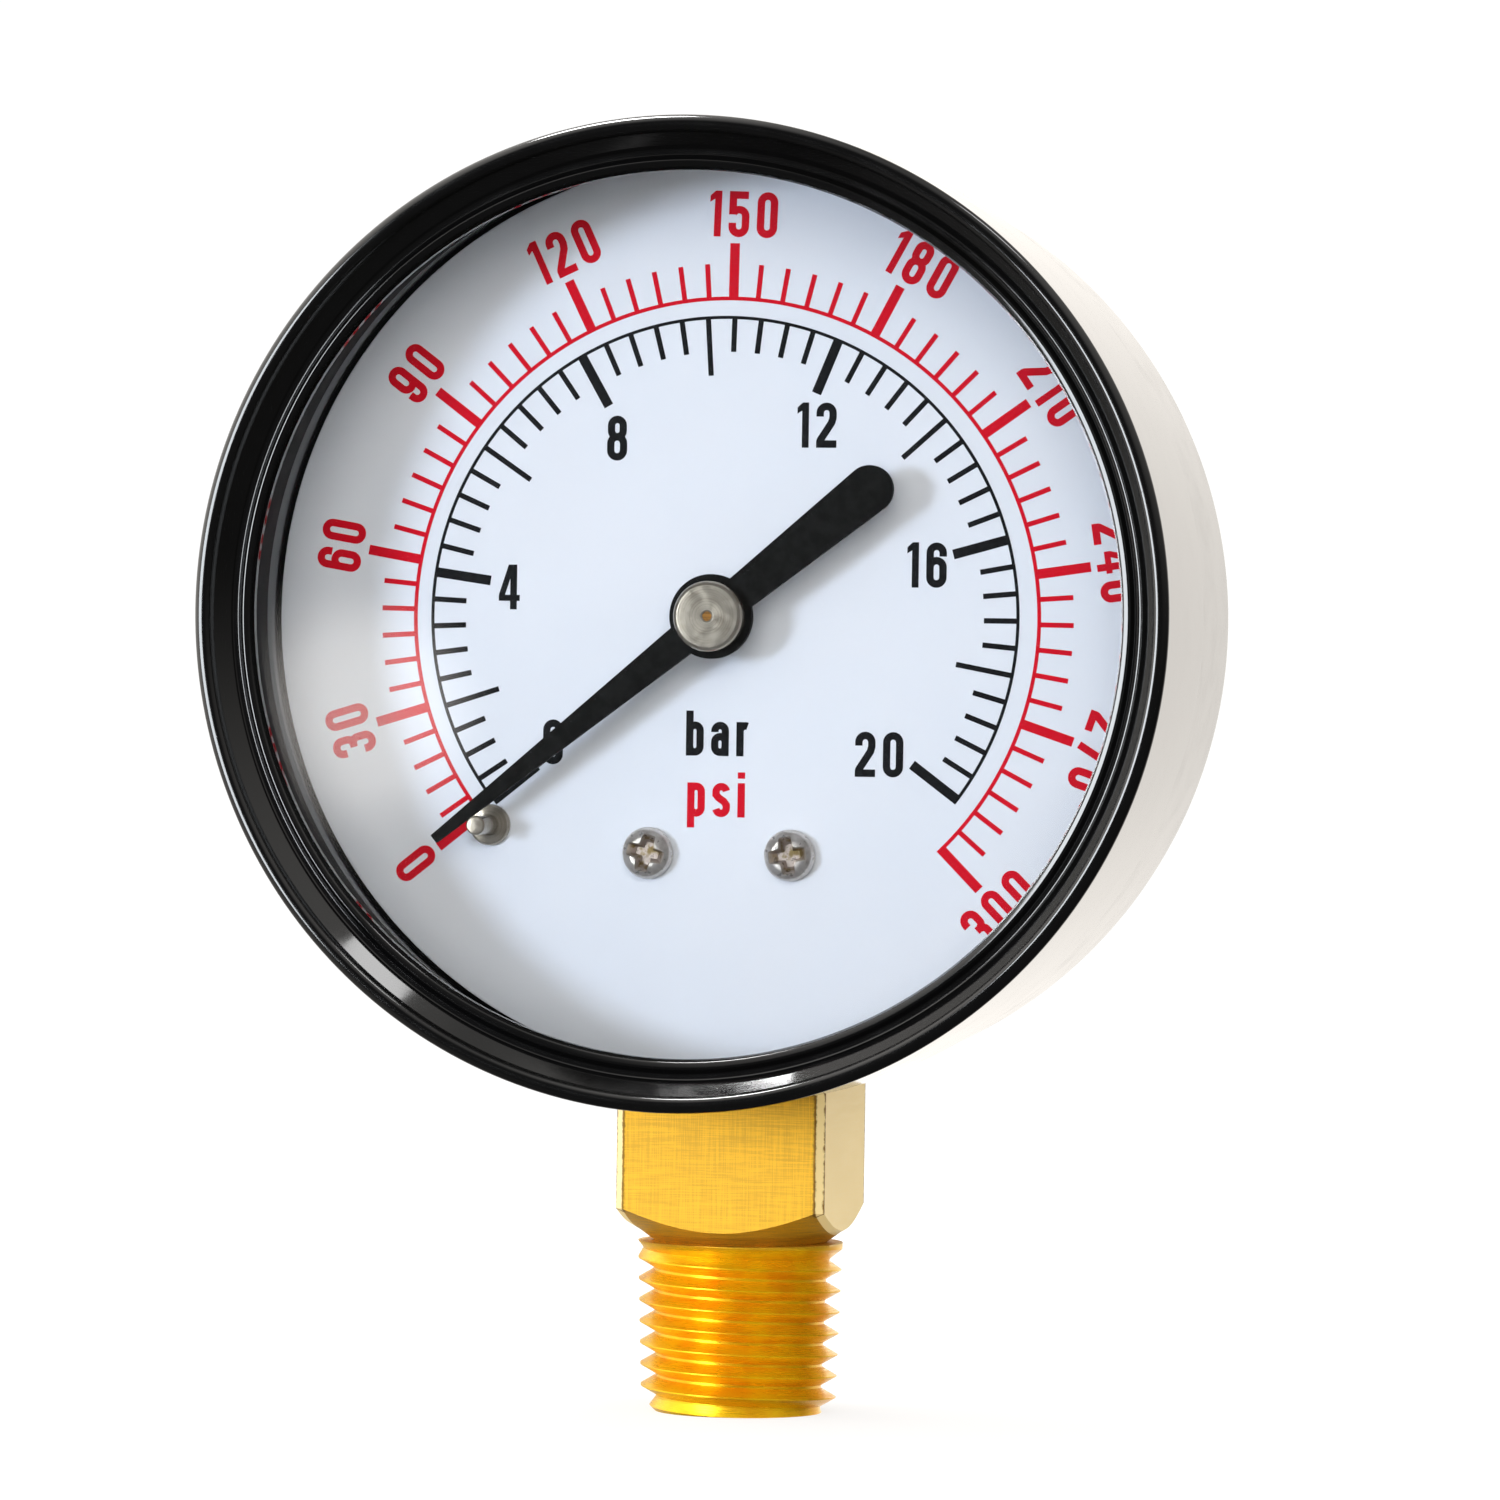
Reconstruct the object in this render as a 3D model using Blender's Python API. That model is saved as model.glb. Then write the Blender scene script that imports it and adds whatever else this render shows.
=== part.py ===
"""A pressure gauge with a bottom stem: black steel case and bezel, brass stem, whole movement inside.

World frame: origin at the middle of the stem's end face, +X to the right, +Y to the rear, +Z up.
Every length below is in millimetres and every mesh is scaled to metres when it is stored. Parts other than
the stem are laid out from the dial's centre, where y is 0 on the dial's face and grows to the rear.
Clock angles are in degrees, clockwise from the top as seen from the front.
"""

import math

import bmesh
import bpy
from mathutils import Matrix, Vector

MM = 0.001
ROUND = 48
SMALL = 16
RUNNING = 0.07  # radial clearance of a pin that turns in a hole
GAP = 0.3  # between pieces that rest on each other
THIN_GAP = 0.1  # between the stacked rings at the window

# Dial and its place above the stem's end face
DIAL_HEIGHT = 52.6
DIAL_SET_FORWARD = 8.0
DIAL_RADIUS = 30.0
DIAL_THICKNESS = 0.5

# Case and bezel
CASE_RADIUS = 31.05
CASE_WALL = 0.85
CASE_CORNER = 2.5
CASE_FRONT = -8.8
CASE_REAR = 17.2
BEZEL_RADIUS = 31.85
BEZEL_WALL = 0.55
BEZEL_REAR = -0.3
BEZEL_FRONT = -14.25
BEZEL_LIP_RADIUS = 28.45
WINDOW_RADIUS = 30.9
WINDOW_THICKNESS = 1.3
GASKET_THICKNESS = 0.8
SKIRT_RADII = (29.65, 30.05)  # of the gasket's skirt, inside the case wall
SKIRT_END = -4.4
PLUG_RADIUS = 4.7
PLUG_HEIGHT = 15.0

# Stem: 1/4 inch taper pipe thread under a 14 mm square
THREAD_PITCH = 25.4 / 18
THREAD_END_RADIUS = 6.45
THREAD_TAPER = 1 / 32  # growth of the radius per unit of length
THREAD_DEPTH = 1.0
THREAD_LENGTH = 11.3
THREAD_CHAMFER = 0.9
SQUARE = 14.0
SQUARE_CORNER = 0.55
SQUARE_START = 12.2  # where the cone meets the middle of a flat
SQUARE_END = 20.4  # where the wrench flats end, just below the case
NECK = 13.8  # width of the square from there up into the case
CONE_SLOPE = math.tan(math.radians(30))
BORE_RADIUS = 1.95
BLOCK_HALF_WIDTH = 10.0
BLOCK_BOTTOM = -28.0
BLOCK_TOP = -19.3
BLOCK_FRONT = 4.1
BLOCK_REAR = 15.9
BLOCK_OVERLAP = 0.05  # how far the square and its neck run into each other and into the block

# Movement: two plates on three pillars
FRONT_PLATE = (2.9, 3.9)
REAR_PLATE = (10.2, 11.2)
PLATE_HALF_WIDTH = 11.0
PLATE_TOP = 10.5
FRONT_PLATE_BOTTOM = -27.6
REAR_PLATE_BOTTOM = -18.2
PILLARS = {"left_upper": (-8.6, 7.8), "right_upper": (8.6, 7.8), "left_lower": (-8.8, -14.6)}
PILLAR_RADIUS = 1.5
SPIGOT_RADIUS = 0.8
PLATE_SCREW_RADIUS = 0.65
MOVEMENT_SCREWS = {"left": (-7.0, -26.0), "right": (7.0, -26.0)}
CASE_SCREWS = {"left": (-6.2, -23.6), "right": (6.2, -23.6)}
DIAL_SCREWS = {"left": (-4.75, -15.5), "right": (4.75, -15.5)}

# Gears: a pinion on the pointer's arbor and a toothed sector ten times its size
MODULE = 0.25
PINION_TEETH = 10
SECTOR_TEETH_FULL = 100
PRESSURE_ANGLE = math.radians(20)
BACKLASH = 0.06
ADDENDUM = 0.85 * MODULE
DEDENDUM = 1.2 * MODULE
PINION_RADIUS = MODULE * PINION_TEETH / 2
SECTOR_RADIUS = MODULE * SECTOR_TEETH_FULL / 2
SECTOR_CLOCK = 160.9
SECTOR_SIDES = (-27.0, 14.0)  # clock angles of the toothed rim's two ends
SECTOR_LAYER = (6.8, 7.6)
RIM_WIDTH = 2.0
ARBOR_RADIUS = 0.9
TAIL_LENGTH = 5.0
TAIL_CLOCK = 149.4
LINK_LENGTH = 8.0
LINK_CLOCK = 45.8
LINK_LAYER = (7.75, 8.35)
LINK_PIN_RADIUS = 0.5

# Bourdon tube: a flattened tube bent round the movement
TUBE_RADIUS = 23.5
TUBE_THICKNESS = 2.2
TUBE_WIDTH = 6.0
TUBE_WALL = 0.4
TUBE_MIDDLE = 8.6
TUBE_STEPS = 30
TUBE_IN_BLOCK = 196.0
TUBE_LEAVES_BLOCK = 205.0
TUBE_TIP = 472.0  # 112 degrees, one turn on

# Pointer, at rest against the stop pin
POINTER_REST = -128.8
POINTER_LAYER = (-3.75, -3.25)
POINTER_LENGTH = 23.6
POINTER_TIP_WIDTH = 0.6
POINTER_ROOT_WIDTH = 2.1
POINTER_DISC_RADIUS = 2.75
TAIL_END_CENTRE = 13.33
TAIL_END_RADIUS = 1.56
TAIL_ROOT_WIDTH = 2.3
HUB_RADIUS = 2.3
HUB_FRONT = -4.9
BUSH_RADIUS = 1.4
STOP_PIN = (-15.47, -13.84)
STOP_PIN_RADIUS = 0.63
STOP_PIN_FRONT = -4.2

# Hairspring
SPRING_TURNS = 4
SPRING_START = 1.75
SPRING_END = 4.35
SPRING_STRIP = 0.12
SPRING_LAYER = (4.7, 5.3)


def clear_scene():
    for old in list(bpy.data.objects):
        bpy.data.objects.remove(old)


def finish(name, colour, metallic, roughness):
    made = bpy.data.materials.new(name)
    made.use_nodes = True
    surface = made.node_tree.nodes["Principled BSDF"]
    surface.inputs["Base Color"].default_value = (*colour, 1)
    surface.inputs["Metallic"].default_value = metallic
    surface.inputs["Roughness"].default_value = roughness
    return made


def empty(name, at, parent=None):
    made = bpy.data.objects.new(name, None)
    bpy.context.scene.collection.objects.link(made)
    made.location = Vector(at) * MM
    made.parent = parent
    return made


def store(name, bm, material, parent, at=(0, 0, 0), clock=0.0, smooth=True):
    """The mesh as a named object, in metres, placed from its parent and turned clockwise by clock."""
    bmesh.ops.recalc_face_normals(bm, faces=bm.faces)
    bm.transform(Matrix.Scale(MM, 4))
    mesh = bpy.data.meshes.new(name)
    bm.to_mesh(mesh)
    bm.free()
    if smooth:
        mesh.shade_smooth()
        mesh.set_sharp_from_angle(angle=math.radians(35))
    made = bpy.data.objects.new(name, mesh)
    bpy.context.scene.collection.objects.link(made)
    made.parent = parent
    made.location = Vector(at) * MM
    made.rotation_euler = (0, math.radians(clock), 0)
    if material:
        mesh.materials.append(material)
    else:
        made.hide_render = True
        made.display_type = "WIRE"
    return made


def polar(radius, clock):
    return radius * math.sin(math.radians(clock)), radius * math.cos(math.radians(clock))


def arc(radius, start, end, steps, centre=(0, 0)):
    """Points (x, z) on an arc, between two clock angles."""
    clocks = (start + (end - start) * i / steps for i in range(steps + 1))
    return [(centre[0] + x, centre[1] + z) for x, z in (polar(radius, clock) for clock in clocks)]


def corner(radius, centre, start, end, steps):
    """Points (radius, y) of a rounded corner in a turned profile, angles from +radius towards +y."""
    angles = (math.radians(start + (end - start) * i / steps) for i in range(steps + 1))
    return [(centre[0] + radius * math.cos(a), centre[1] + radius * math.sin(a)) for a in angles]


def turned(profile, segments=SMALL, ring=False, upright=False):
    """A body turned about Y, or about Z when upright, from (radius, height) points; a ring closes."""
    bm = bmesh.new()
    points = [bm.verts.new((radius, height, 0)) for radius, height in profile]
    edges = [bm.edges.new(pair) for pair in zip(points, points[1:])]
    if ring:
        edges.append(bm.edges.new((points[-1], points[0])))
    bmesh.ops.spin(
        bm,
        geom=points + edges,
        cent=(0, 0, 0),
        axis=(0, 1, 0),
        angle=math.tau,
        steps=segments,
        use_merge=True,
    )
    bmesh.ops.remove_doubles(bm, verts=bm.verts, dist=1e-4)
    if upright:
        bm.transform(Matrix.Rotation(math.pi / 2, 4, "X"))
    return bm


def cylinder(radius, start, end, segments=SMALL, upright=False):
    return turned([(0, start), (radius, start), (radius, end), (0, end)], segments, upright=upright)


def prism(outline, front, rear):
    """A plate cut to an outline of (x, z) points, between two depths."""
    bm = bmesh.new()
    face = bm.faces.new([bm.verts.new((x, front, z)) for x, z in outline])
    moved = bmesh.ops.extrude_face_region(bm, geom=[face])["geom"]
    bmesh.ops.translate(
        bm, verts=[part for part in moved if isinstance(part, bmesh.types.BMVert)], vec=(0, rear - front, 0)
    )
    return bm


def rounded_rectangle(left, right, bottom, top, radius, steps=4):
    corners = (
        ((right - radius, top - radius), 0),
        ((right - radius, bottom + radius), 90),
        ((left + radius, bottom + radius), 180),
        ((left + radius, top - radius), 270),
    )
    return [point for centre, start in corners for point in arc(radius, start, start + 90, steps, centre)]


def hole_radius(pin_radius, clearance=RUNNING, segments=SMALL):
    """Radius of a faceted hole whose flats clear the pin by the clearance."""
    return (pin_radius + clearance) / math.cos(math.pi / segments)


def combine(target, other, operation):
    step = target.modifiers.new(other.name, "BOOLEAN")
    step.operation = operation
    step.solver = "EXACT"
    step.object = other


def cut(target, name, bm, parent, at=(0, 0, 0)):
    combine(target, store(name, bm, None, parent, at), "DIFFERENCE")


def drill(target, name, parent, radius, at, front, rear):
    """A round hole along Y at (x, z), from one depth to another."""
    cut(target, name, cylinder(radius, front, rear), parent, (at[0], 0, at[1]))


def screw(name, material, parent, at, seat, head, shank, cross=True, from_rear=False):
    """A pan-head screw, its head on the depth seat. head is (radius, height), shank (radius, length)."""
    out = 1 if from_rear else -1
    radius, height = head
    profile = [
        (0, seat + out * height),
        (0.55 * radius, seat + out * height),
        (0.86 * radius, seat + out * 0.8 * height),
        (radius, seat + out * 0.4 * height),
        (radius, seat),
        (shank[0], seat),
        (shank[0], seat - out * shank[1]),
        (0, seat - out * shank[1]),
    ]
    made = store(name, turned(profile), material, parent, (at[0], 0, at[1]))
    reach, half = 0.62 * radius, 0.16 * radius
    if cross:
        quarter = [(half, reach), (half, half), (reach, half)]
        turn = [(1, 1), (1, -1), (-1, -1), (-1, 1)]
        outline = []
        for index, (sx, sz) in enumerate(turn):
            points = quarter if index % 2 == 0 else quarter[::-1]
            outline += [(sx * x, sz * z) for x, z in points]
    else:
        wide = 1.2 * radius
        outline = [(-wide, -half), (-wide, half), (wide, half), (wide, -half)]
    floor, mouth = seat + out * 0.45 * height, seat + out * 1.3 * height
    drive = prism(outline, min(floor, mouth), max(floor, mouth))
    cut(made, name + "_drive", drive, parent, (at[0], 0, at[1]))
    return made


def thread():
    """The taper thread as one closed body: a helical run of crests and roots, flat at both ends."""
    columns = 24
    rows_per_pitch = 2
    rows = int(rows_per_pitch * (THREAD_LENGTH / THREAD_PITCH + 3))
    low, high = 0.0, THREAD_LENGTH

    def radius_at(height, share):
        crest = THREAD_END_RADIUS + THREAD_TAPER * height
        root = crest - THREAD_DEPTH
        chamfer = THREAD_END_RADIUS - THREAD_CHAMFER + height
        runout = root + THREAD_DEPTH * max(0.0, 1 - (high - height) / THREAD_PITCH)
        return min(chamfer, max(crest if share else root, runout))

    bm = bmesh.new()
    grid = []
    for row in range(rows + 1):
        line = []
        for column in range(columns):
            turn = row / rows_per_pitch - 2 + column / columns
            height = min(max(turn * THREAD_PITCH, low), high)
            whole = height == turn * THREAD_PITCH
            radius = radius_at(height, row % 2 if whole else 0)
            x, y = polar(radius, 360 * column / columns)
            line.append(bm.verts.new((x, y, height)))
        grid.append(line)
    for row in range(rows - rows_per_pitch):
        for column in range(columns):
            if column + 1 < columns:
                right = (grid[row][column + 1], grid[row + 1][column + 1])
            else:
                right = (grid[row + rows_per_pitch][0], grid[row + rows_per_pitch + 1][0])
            bm.faces.new((grid[row][column], right[0], right[1], grid[row + 1][column]))
    bmesh.ops.remove_doubles(bm, verts=bm.verts, dist=1e-4)
    bmesh.ops.delete(bm, geom=[v for v in bm.verts if not v.link_faces], context="VERTS")
    bmesh.ops.holes_fill(bm, edges=[e for e in bm.edges if e.is_boundary], sides=0)
    return bm


def square_post(width, low, high):
    """A square post round the stem's axis, its corners broken, between two heights."""
    half, inner = width / 2, width / 2 - SQUARE_CORNER
    outline = [(inner, half), (half, inner), (half, -inner), (inner, -half)]
    outline += [(-x, z) for x, z in reversed(outline)]
    post = prism(outline, low, high)
    post.transform(Matrix.Rotation(math.pi / 2, 4, "X"))
    return post


def make_socket(dial, brass):
    """The stem, its square and the block inside the case, bored through to the tube."""
    socket = store("socket", thread(), brass, None)
    half = SQUARE / 2
    block_bottom = DIAL_HEIGHT + BLOCK_BOTTOM
    low = SQUARE_START - half * CONE_SLOPE
    square = store("socket_square", square_post(SQUARE, low, SQUARE_END), None, None)
    envelope = [(0, low - 1), (half - 0.3, SQUARE_START - 0.3 * CONE_SLOPE)]
    envelope.append((SQUARE, SQUARE_START + (SQUARE - half) * CONE_SLOPE))
    envelope += [(SQUARE, SQUARE_END + 1), (0, SQUARE_END + 1)]
    combine(square, store("socket_cone", turned(envelope, ROUND, upright=True), None, None), "INTERSECT")
    combine(socket, square, "UNION")
    neck = square_post(NECK, SQUARE_END - BLOCK_OVERLAP, block_bottom + BLOCK_OVERLAP)
    combine(socket, store("socket_neck", neck, None, None), "UNION")
    block = rounded_rectangle(-BLOCK_HALF_WIDTH, BLOCK_HALF_WIDTH, BLOCK_BOTTOM, BLOCK_TOP, 0.8, 2)
    combine(socket, store("socket_block", prism(block, BLOCK_FRONT, BLOCK_REAR), None, dial), "UNION")
    slot_ends = (TUBE_IN_BLOCK - 1.5, TUBE_LEAVES_BLOCK + 10)
    slot = tube_sweep(TUBE_THICKNESS + 2 * GAP, TUBE_WIDTH + 2 * GAP, *slot_ends, 6)
    cut(socket, "socket_tube_slot", slot, dial)
    slot_height = DIAL_HEIGHT + polar(TUBE_RADIUS, TUBE_IN_BLOCK)[1]
    cut(socket, "socket_bore", cylinder(BORE_RADIUS, -1, slot_height + 1, upright=True), None)
    across = cylinder(1.0, -8, 0.2)
    across.transform(Matrix.Rotation(-math.pi / 2, 4, "Z"))
    cut(socket, "socket_cross_bore", across, None, (0, TUBE_MIDDLE - DIAL_SET_FORWARD, slot_height))
    for side, at in MOVEMENT_SCREWS.items():
        drill(socket, f"socket_movement_hole_{side}", dial, hole_radius(1.0), at, BLOCK_FRONT - 1, 8.4)
    for side, at in CASE_SCREWS.items():
        drill(socket, f"socket_case_hole_{side}", dial, hole_radius(1.3), at, 12.7, BLOCK_REAR + 1)


def make_case(dial, black, rubber):
    inner = CASE_RADIUS - CASE_WALL
    inner_rear = CASE_REAR - CASE_WALL
    outer_corner = (CASE_RADIUS - CASE_CORNER, CASE_REAR - CASE_CORNER)
    inner_corner = CASE_CORNER - CASE_WALL
    profile = [(0, CASE_REAR)] + corner(CASE_CORNER, outer_corner, 90, 0, 4)
    profile += [(CASE_RADIUS, CASE_FRONT), (inner, CASE_FRONT)]
    profile += corner(inner_corner, outer_corner, 0, 90, 3) + [(0, inner_rear)]
    case = store("case", turned(profile, ROUND), black, dial)
    half = SQUARE / 2 + GAP
    opening = prism([(-half, -34), (-half, -28.6), (half, -28.6), (half, -34)], -half, half)
    cut(case, "case_stem_opening", opening, dial, (0, DIAL_SET_FORWARD, 0))
    for side, at in CASE_SCREWS.items():
        drill(case, f"case_screw_hole_{side}", dial, 1.7, at, inner_rear - 1, CASE_REAR + 1)
    plug_at = (0, PLUG_HEIGHT)
    drill(case, "case_plug_hole", dial, PLUG_RADIUS + GAP, plug_at, inner_rear - 1, CASE_REAR + 1)
    plug = [
        (0, CASE_REAR + 0.9),
        (PLUG_RADIUS + 0.7, CASE_REAR + 0.9),
        (PLUG_RADIUS + 1.2, CASE_REAR + 0.5),
        (PLUG_RADIUS + 1.2, CASE_REAR + 0.15),
        (PLUG_RADIUS, CASE_REAR + 0.15),
        (PLUG_RADIUS, inner_rear - 0.15),
        (PLUG_RADIUS + 0.8, inner_rear - 0.15),
        (PLUG_RADIUS, inner_rear - 1.2),
        (0, inner_rear - 1.2),
    ]
    store("blow_out_plug", turned(plug), rubber, dial, (0, 0, PLUG_HEIGHT))


def make_bezel(dial, black):
    """The pressed ring: barrel, rounded crest, coned face, groove and inner lip."""
    barrel = BEZEL_RADIUS - BEZEL_WALL
    crest = (BEZEL_RADIUS - 0.7, BEZEL_FRONT + 0.7)
    lip = BEZEL_LIP_RADIUS
    profile = [(barrel, BEZEL_REAR), (BEZEL_RADIUS, BEZEL_REAR)]
    profile += corner(0.7, crest, 0, -125, 5)
    profile += [(lip + 2.38, -13.3), (lip + 1.25, -12.2), (lip + 0.95, -12.15)]
    profile += [(lip + 0.62, -12.45), (lip + 0.25, -12.3), (lip, -11.85), (lip, -11.25)]
    profile += [(lip + 2.2, -11.25), (barrel, -12.3)]
    store("bezel", turned(profile, ROUND, ring=True), black, dial)


def make_window(dial, clear, rubber):
    """The window, and under it the gasket: a flange on the case's rim with a skirt inside the wall."""
    skirt_inner, skirt_outer = SKIRT_RADII
    flange_rear = CASE_FRONT - THIN_GAP
    flange_front = flange_rear - GASKET_THICKNESS
    gasket = [(skirt_inner, flange_front), (WINDOW_RADIUS, flange_front), (WINDOW_RADIUS, flange_rear)]
    gasket += [(skirt_outer, flange_rear), (skirt_outer, SKIRT_END), (skirt_inner, SKIRT_END)]
    store("window_gasket", turned(gasket, ROUND, ring=True), rubber, dial)
    rear = flange_front - THIN_GAP
    front = rear - WINDOW_THICKNESS
    window = [(0, front), (WINDOW_RADIUS - 0.3, front), (WINDOW_RADIUS, front + 0.3)]
    window += [(WINDOW_RADIUS, rear), (0, rear)]
    store("window", turned(window, ROUND), clear, dial)


def make_dial(dial, white, nickel, brass):
    sheet = store("dial", cylinder(DIAL_RADIUS, 0, DIAL_THICKNESS, ROUND), white, dial)
    drill(sheet, "dial_arbor_hole", dial, 1.8, (0, 0), -1, 1)
    drill(sheet, "dial_pin_hole", dial, 0.75, STOP_PIN, -1, 1)
    for side, at in DIAL_SCREWS.items():
        drill(sheet, f"dial_screw_hole_{side}", dial, 1.25, at, -1, 1)
        screw(f"dial_screw_{side}", nickel, dial, at, -THIN_GAP, (1.7, 1.2), (1.0, 4.4))
        front, rear = DIAL_THICKNESS + THIN_GAP, FRONT_PLATE[0] - THIN_GAP
        spacer = [(1.25, front), (2.1, front), (2.1, rear), (1.25, rear)]
        store(f"dial_spacer_{side}", turned(spacer, ring=True), brass, dial, (at[0], 0, at[1]))
    pin = [(0, STOP_PIN_FRONT), (STOP_PIN_RADIUS - 0.1, STOP_PIN_FRONT)]
    pin += [(STOP_PIN_RADIUS, STOP_PIN_FRONT + 0.1), (STOP_PIN_RADIUS, -0.55)]
    pin += [(1.25, -0.55), (1.36, -0.4), (1.36, -0.1), (0.6, -0.1)]
    pin += [(0.6, DIAL_THICKNESS + 0.1), (1.1, DIAL_THICKNESS + 0.1), (0.8, 1.0), (0, 1.0)]
    store("stop_pin", turned(pin), nickel, dial, (STOP_PIN[0], 0, STOP_PIN[1]))


def pointer_outline():
    """The pointer standing upright: blade up, round tail down."""
    root, tip, tail = POINTER_ROOT_WIDTH / 2, POINTER_TIP_WIDTH / 2, TAIL_ROOT_WIDTH / 2
    blade_clock = math.degrees(math.asin(root / POINTER_DISC_RADIUS))
    tail_clock = 180 - math.degrees(math.asin(tail / POINTER_DISC_RADIUS))
    right = [(tip, POINTER_LENGTH)]
    right += arc(POINTER_DISC_RADIUS, blade_clock, tail_clock, 8)
    right += arc(TAIL_END_RADIUS, 92, 180, 6, (0, -TAIL_END_CENTRE))
    return right + [(-x, z) for x, z in reversed(right[:-1])]


def make_pointer(axis, black, nickel, brass):
    pointer = store("pointer", prism(pointer_outline(), *POINTER_LAYER), black, axis, clock=POINTER_REST)
    front, rear = POINTER_LAYER
    drill(pointer, "pointer_hole", axis, hole_radius(BUSH_RADIUS), (0, 0), front - 1, rear + 1)
    cap_rear = front - THIN_GAP
    hub = [(0.65, HUB_FRONT + 0.15), (0.9, HUB_FRONT), (HUB_RADIUS - 0.25, HUB_FRONT)]
    hub += [(HUB_RADIUS, HUB_FRONT + 0.25), (HUB_RADIUS, cap_rear), (BUSH_RADIUS, cap_rear)]
    hub += [(BUSH_RADIUS, -1.4), (1.0, -1.1), (0.65, -1.1)]
    store("pointer_hub", turned(hub, ring=True), nickel, axis)
    journal = 0.6
    pivot = 0.4
    arbor = [(0, HUB_FRONT + 0.1), (0.4, HUB_FRONT + 0.1), (0.5, -1.0), (0.5, 2.4), (journal, 2.4)]
    arbor += [(journal, 4.1), (ARBOR_RADIUS, 4.1), (ARBOR_RADIUS, 9.95)]
    arbor += [(pivot, 9.95), (pivot, 11.0), (0, 11.0)]
    arbor = store("pinion_arbor", turned(arbor), brass, axis)
    teeth = store("pinion_teeth", prism(pinion_outline(), 6.0, 8.4), None, axis)
    combine(arbor, teeth, "UNION")
    collet = [(ARBOR_RADIUS + 0.08, 4.3), (1.5, 4.3), (1.5, 5.6), (ARBOR_RADIUS + 0.08, 5.6)]
    store("hairspring_collet", turned(collet, ring=True), brass, axis)


def pinion_outline():
    """Involute teeth, one of them pointing at the sector's pivot."""
    base = PINION_RADIUS * math.cos(PRESSURE_ANGLE)
    tip = PINION_RADIUS + ADDENDUM
    root = PINION_RADIUS - DEDENDUM
    half_at_pitch = (math.pi * MODULE - BACKLASH) / 4 / PINION_RADIUS

    def half_angle(radius):
        pressure = math.acos(min(1.0, base / radius))
        involute = math.tan(PRESSURE_ANGLE) - PRESSURE_ANGLE - (math.tan(pressure) - pressure)
        return half_at_pitch + involute

    radii = [base + (tip - base) * i / 3 for i in range(4)]
    flank = [(root, half_angle(base))] + [(radius, half_angle(radius)) for radius in radii]
    outline = []
    for tooth in range(PINION_TEETH):
        middle = SECTOR_CLOCK + 360 / PINION_TEETH * tooth
        outline += [polar(radius, middle - math.degrees(half)) for radius, half in flank]
        outline += [polar(radius, middle + math.degrees(half)) for radius, half in reversed(flank)]
    return outline


def sector_outline():
    """The toothed rim, its hub and its tail, laid out from the sector's pivot."""
    pitch = 360 / SECTOR_TEETH_FULL
    towards_pinion = SECTOR_CLOCK - 180
    half = (math.pi * MODULE - BACKLASH) / 4
    tip_half = half - ADDENDUM * math.tan(PRESSURE_ANGLE)
    root_half = half + DEDENDUM * math.tan(PRESSURE_ANGLE)
    tip, root = SECTOR_RADIUS + ADDENDUM, SECTOR_RADIUS - DEDENDUM
    first = math.ceil((SECTOR_SIDES[0] - towards_pinion) / pitch - 0.5)
    last = math.floor((SECTOR_SIDES[1] - towards_pinion) / pitch - 0.5)
    outline = [polar(root, SECTOR_SIDES[0])]
    for tooth in range(first, last + 1):
        middle = towards_pinion + (tooth + 0.5) * pitch
        for radius, offset in ((root, -root_half), (tip, -tip_half), (tip, tip_half), (root, root_half)):
            outline.append(polar(radius, middle + math.degrees(offset / SECTOR_RADIUS)))
    outline.append(polar(root, SECTOR_SIDES[1]))
    tail_end = polar(TAIL_LENGTH, TAIL_CLOCK)
    outline += arc(2.2, SECTOR_SIDES[1] + 30, TAIL_CLOCK - 40, 3)
    outline += arc(1.15, TAIL_CLOCK - 90, TAIL_CLOCK + 90, 6, tail_end)
    outline += arc(2.2, TAIL_CLOCK + 40, 360 + SECTOR_SIDES[0] - 30, 4)
    return outline


def make_sector(dial, axis, brass, steel):
    sector = store("sector_gear", prism(sector_outline(), *SECTOR_LAYER), brass, axis)
    front, rear = SECTOR_LAYER
    drill(sector, "sector_arbor_hole", axis, hole_radius(ARBOR_RADIUS, 0.05), (0, 0), front - 1, rear + 1)
    tail_end = polar(TAIL_LENGTH, TAIL_CLOCK)
    pin_hole = hole_radius(LINK_PIN_RADIUS, 0.05)
    drill(sector, "sector_link_hole", axis, pin_hole, tail_end, front - 1, rear + 1)
    rim_inner = SECTOR_RADIUS - RIM_WIDTH
    window = arc(rim_inner, SECTOR_SIDES[0] + 7, SECTOR_SIDES[1] - 7, 6)
    window += arc(4.0, SECTOR_SIDES[1] - 14, SECTOR_SIDES[0] + 14, 2)
    cut(sector, "sector_window", prism(window, front - 1, rear + 1), axis)
    pivot = 0.45
    arbor = [(0, 3.1), (pivot, 3.1), (pivot, 4.1), (ARBOR_RADIUS, 4.1), (ARBOR_RADIUS, 7.75)]
    arbor += [(1.6, 7.75), (1.6, 8.5), (ARBOR_RADIUS, 8.5), (ARBOR_RADIUS, 9.95)]
    arbor += [(pivot, 9.95), (pivot, 11.0), (0, 11.0)]
    store("sector_arbor", turned(arbor), steel, axis)
    store("link_screw", turned(link_pin()), steel, axis, (tail_end[0], 0, tail_end[1]))


def link_pin():
    """A headed pin through the link and the piece in front of it, riveted over at the front."""
    front = SECTOR_LAYER[0] - THIN_GAP
    rear = LINK_LAYER[1] + THIN_GAP
    pin = [(0, front - 0.4), (0.7, front - 0.4), (0.85, front)]
    pin += [(LINK_PIN_RADIUS, front), (LINK_PIN_RADIUS, rear), (1.0, rear)]
    return pin + [(1.0, rear + 0.4), (0.8, rear + 0.55), (0, rear + 0.55)]


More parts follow.
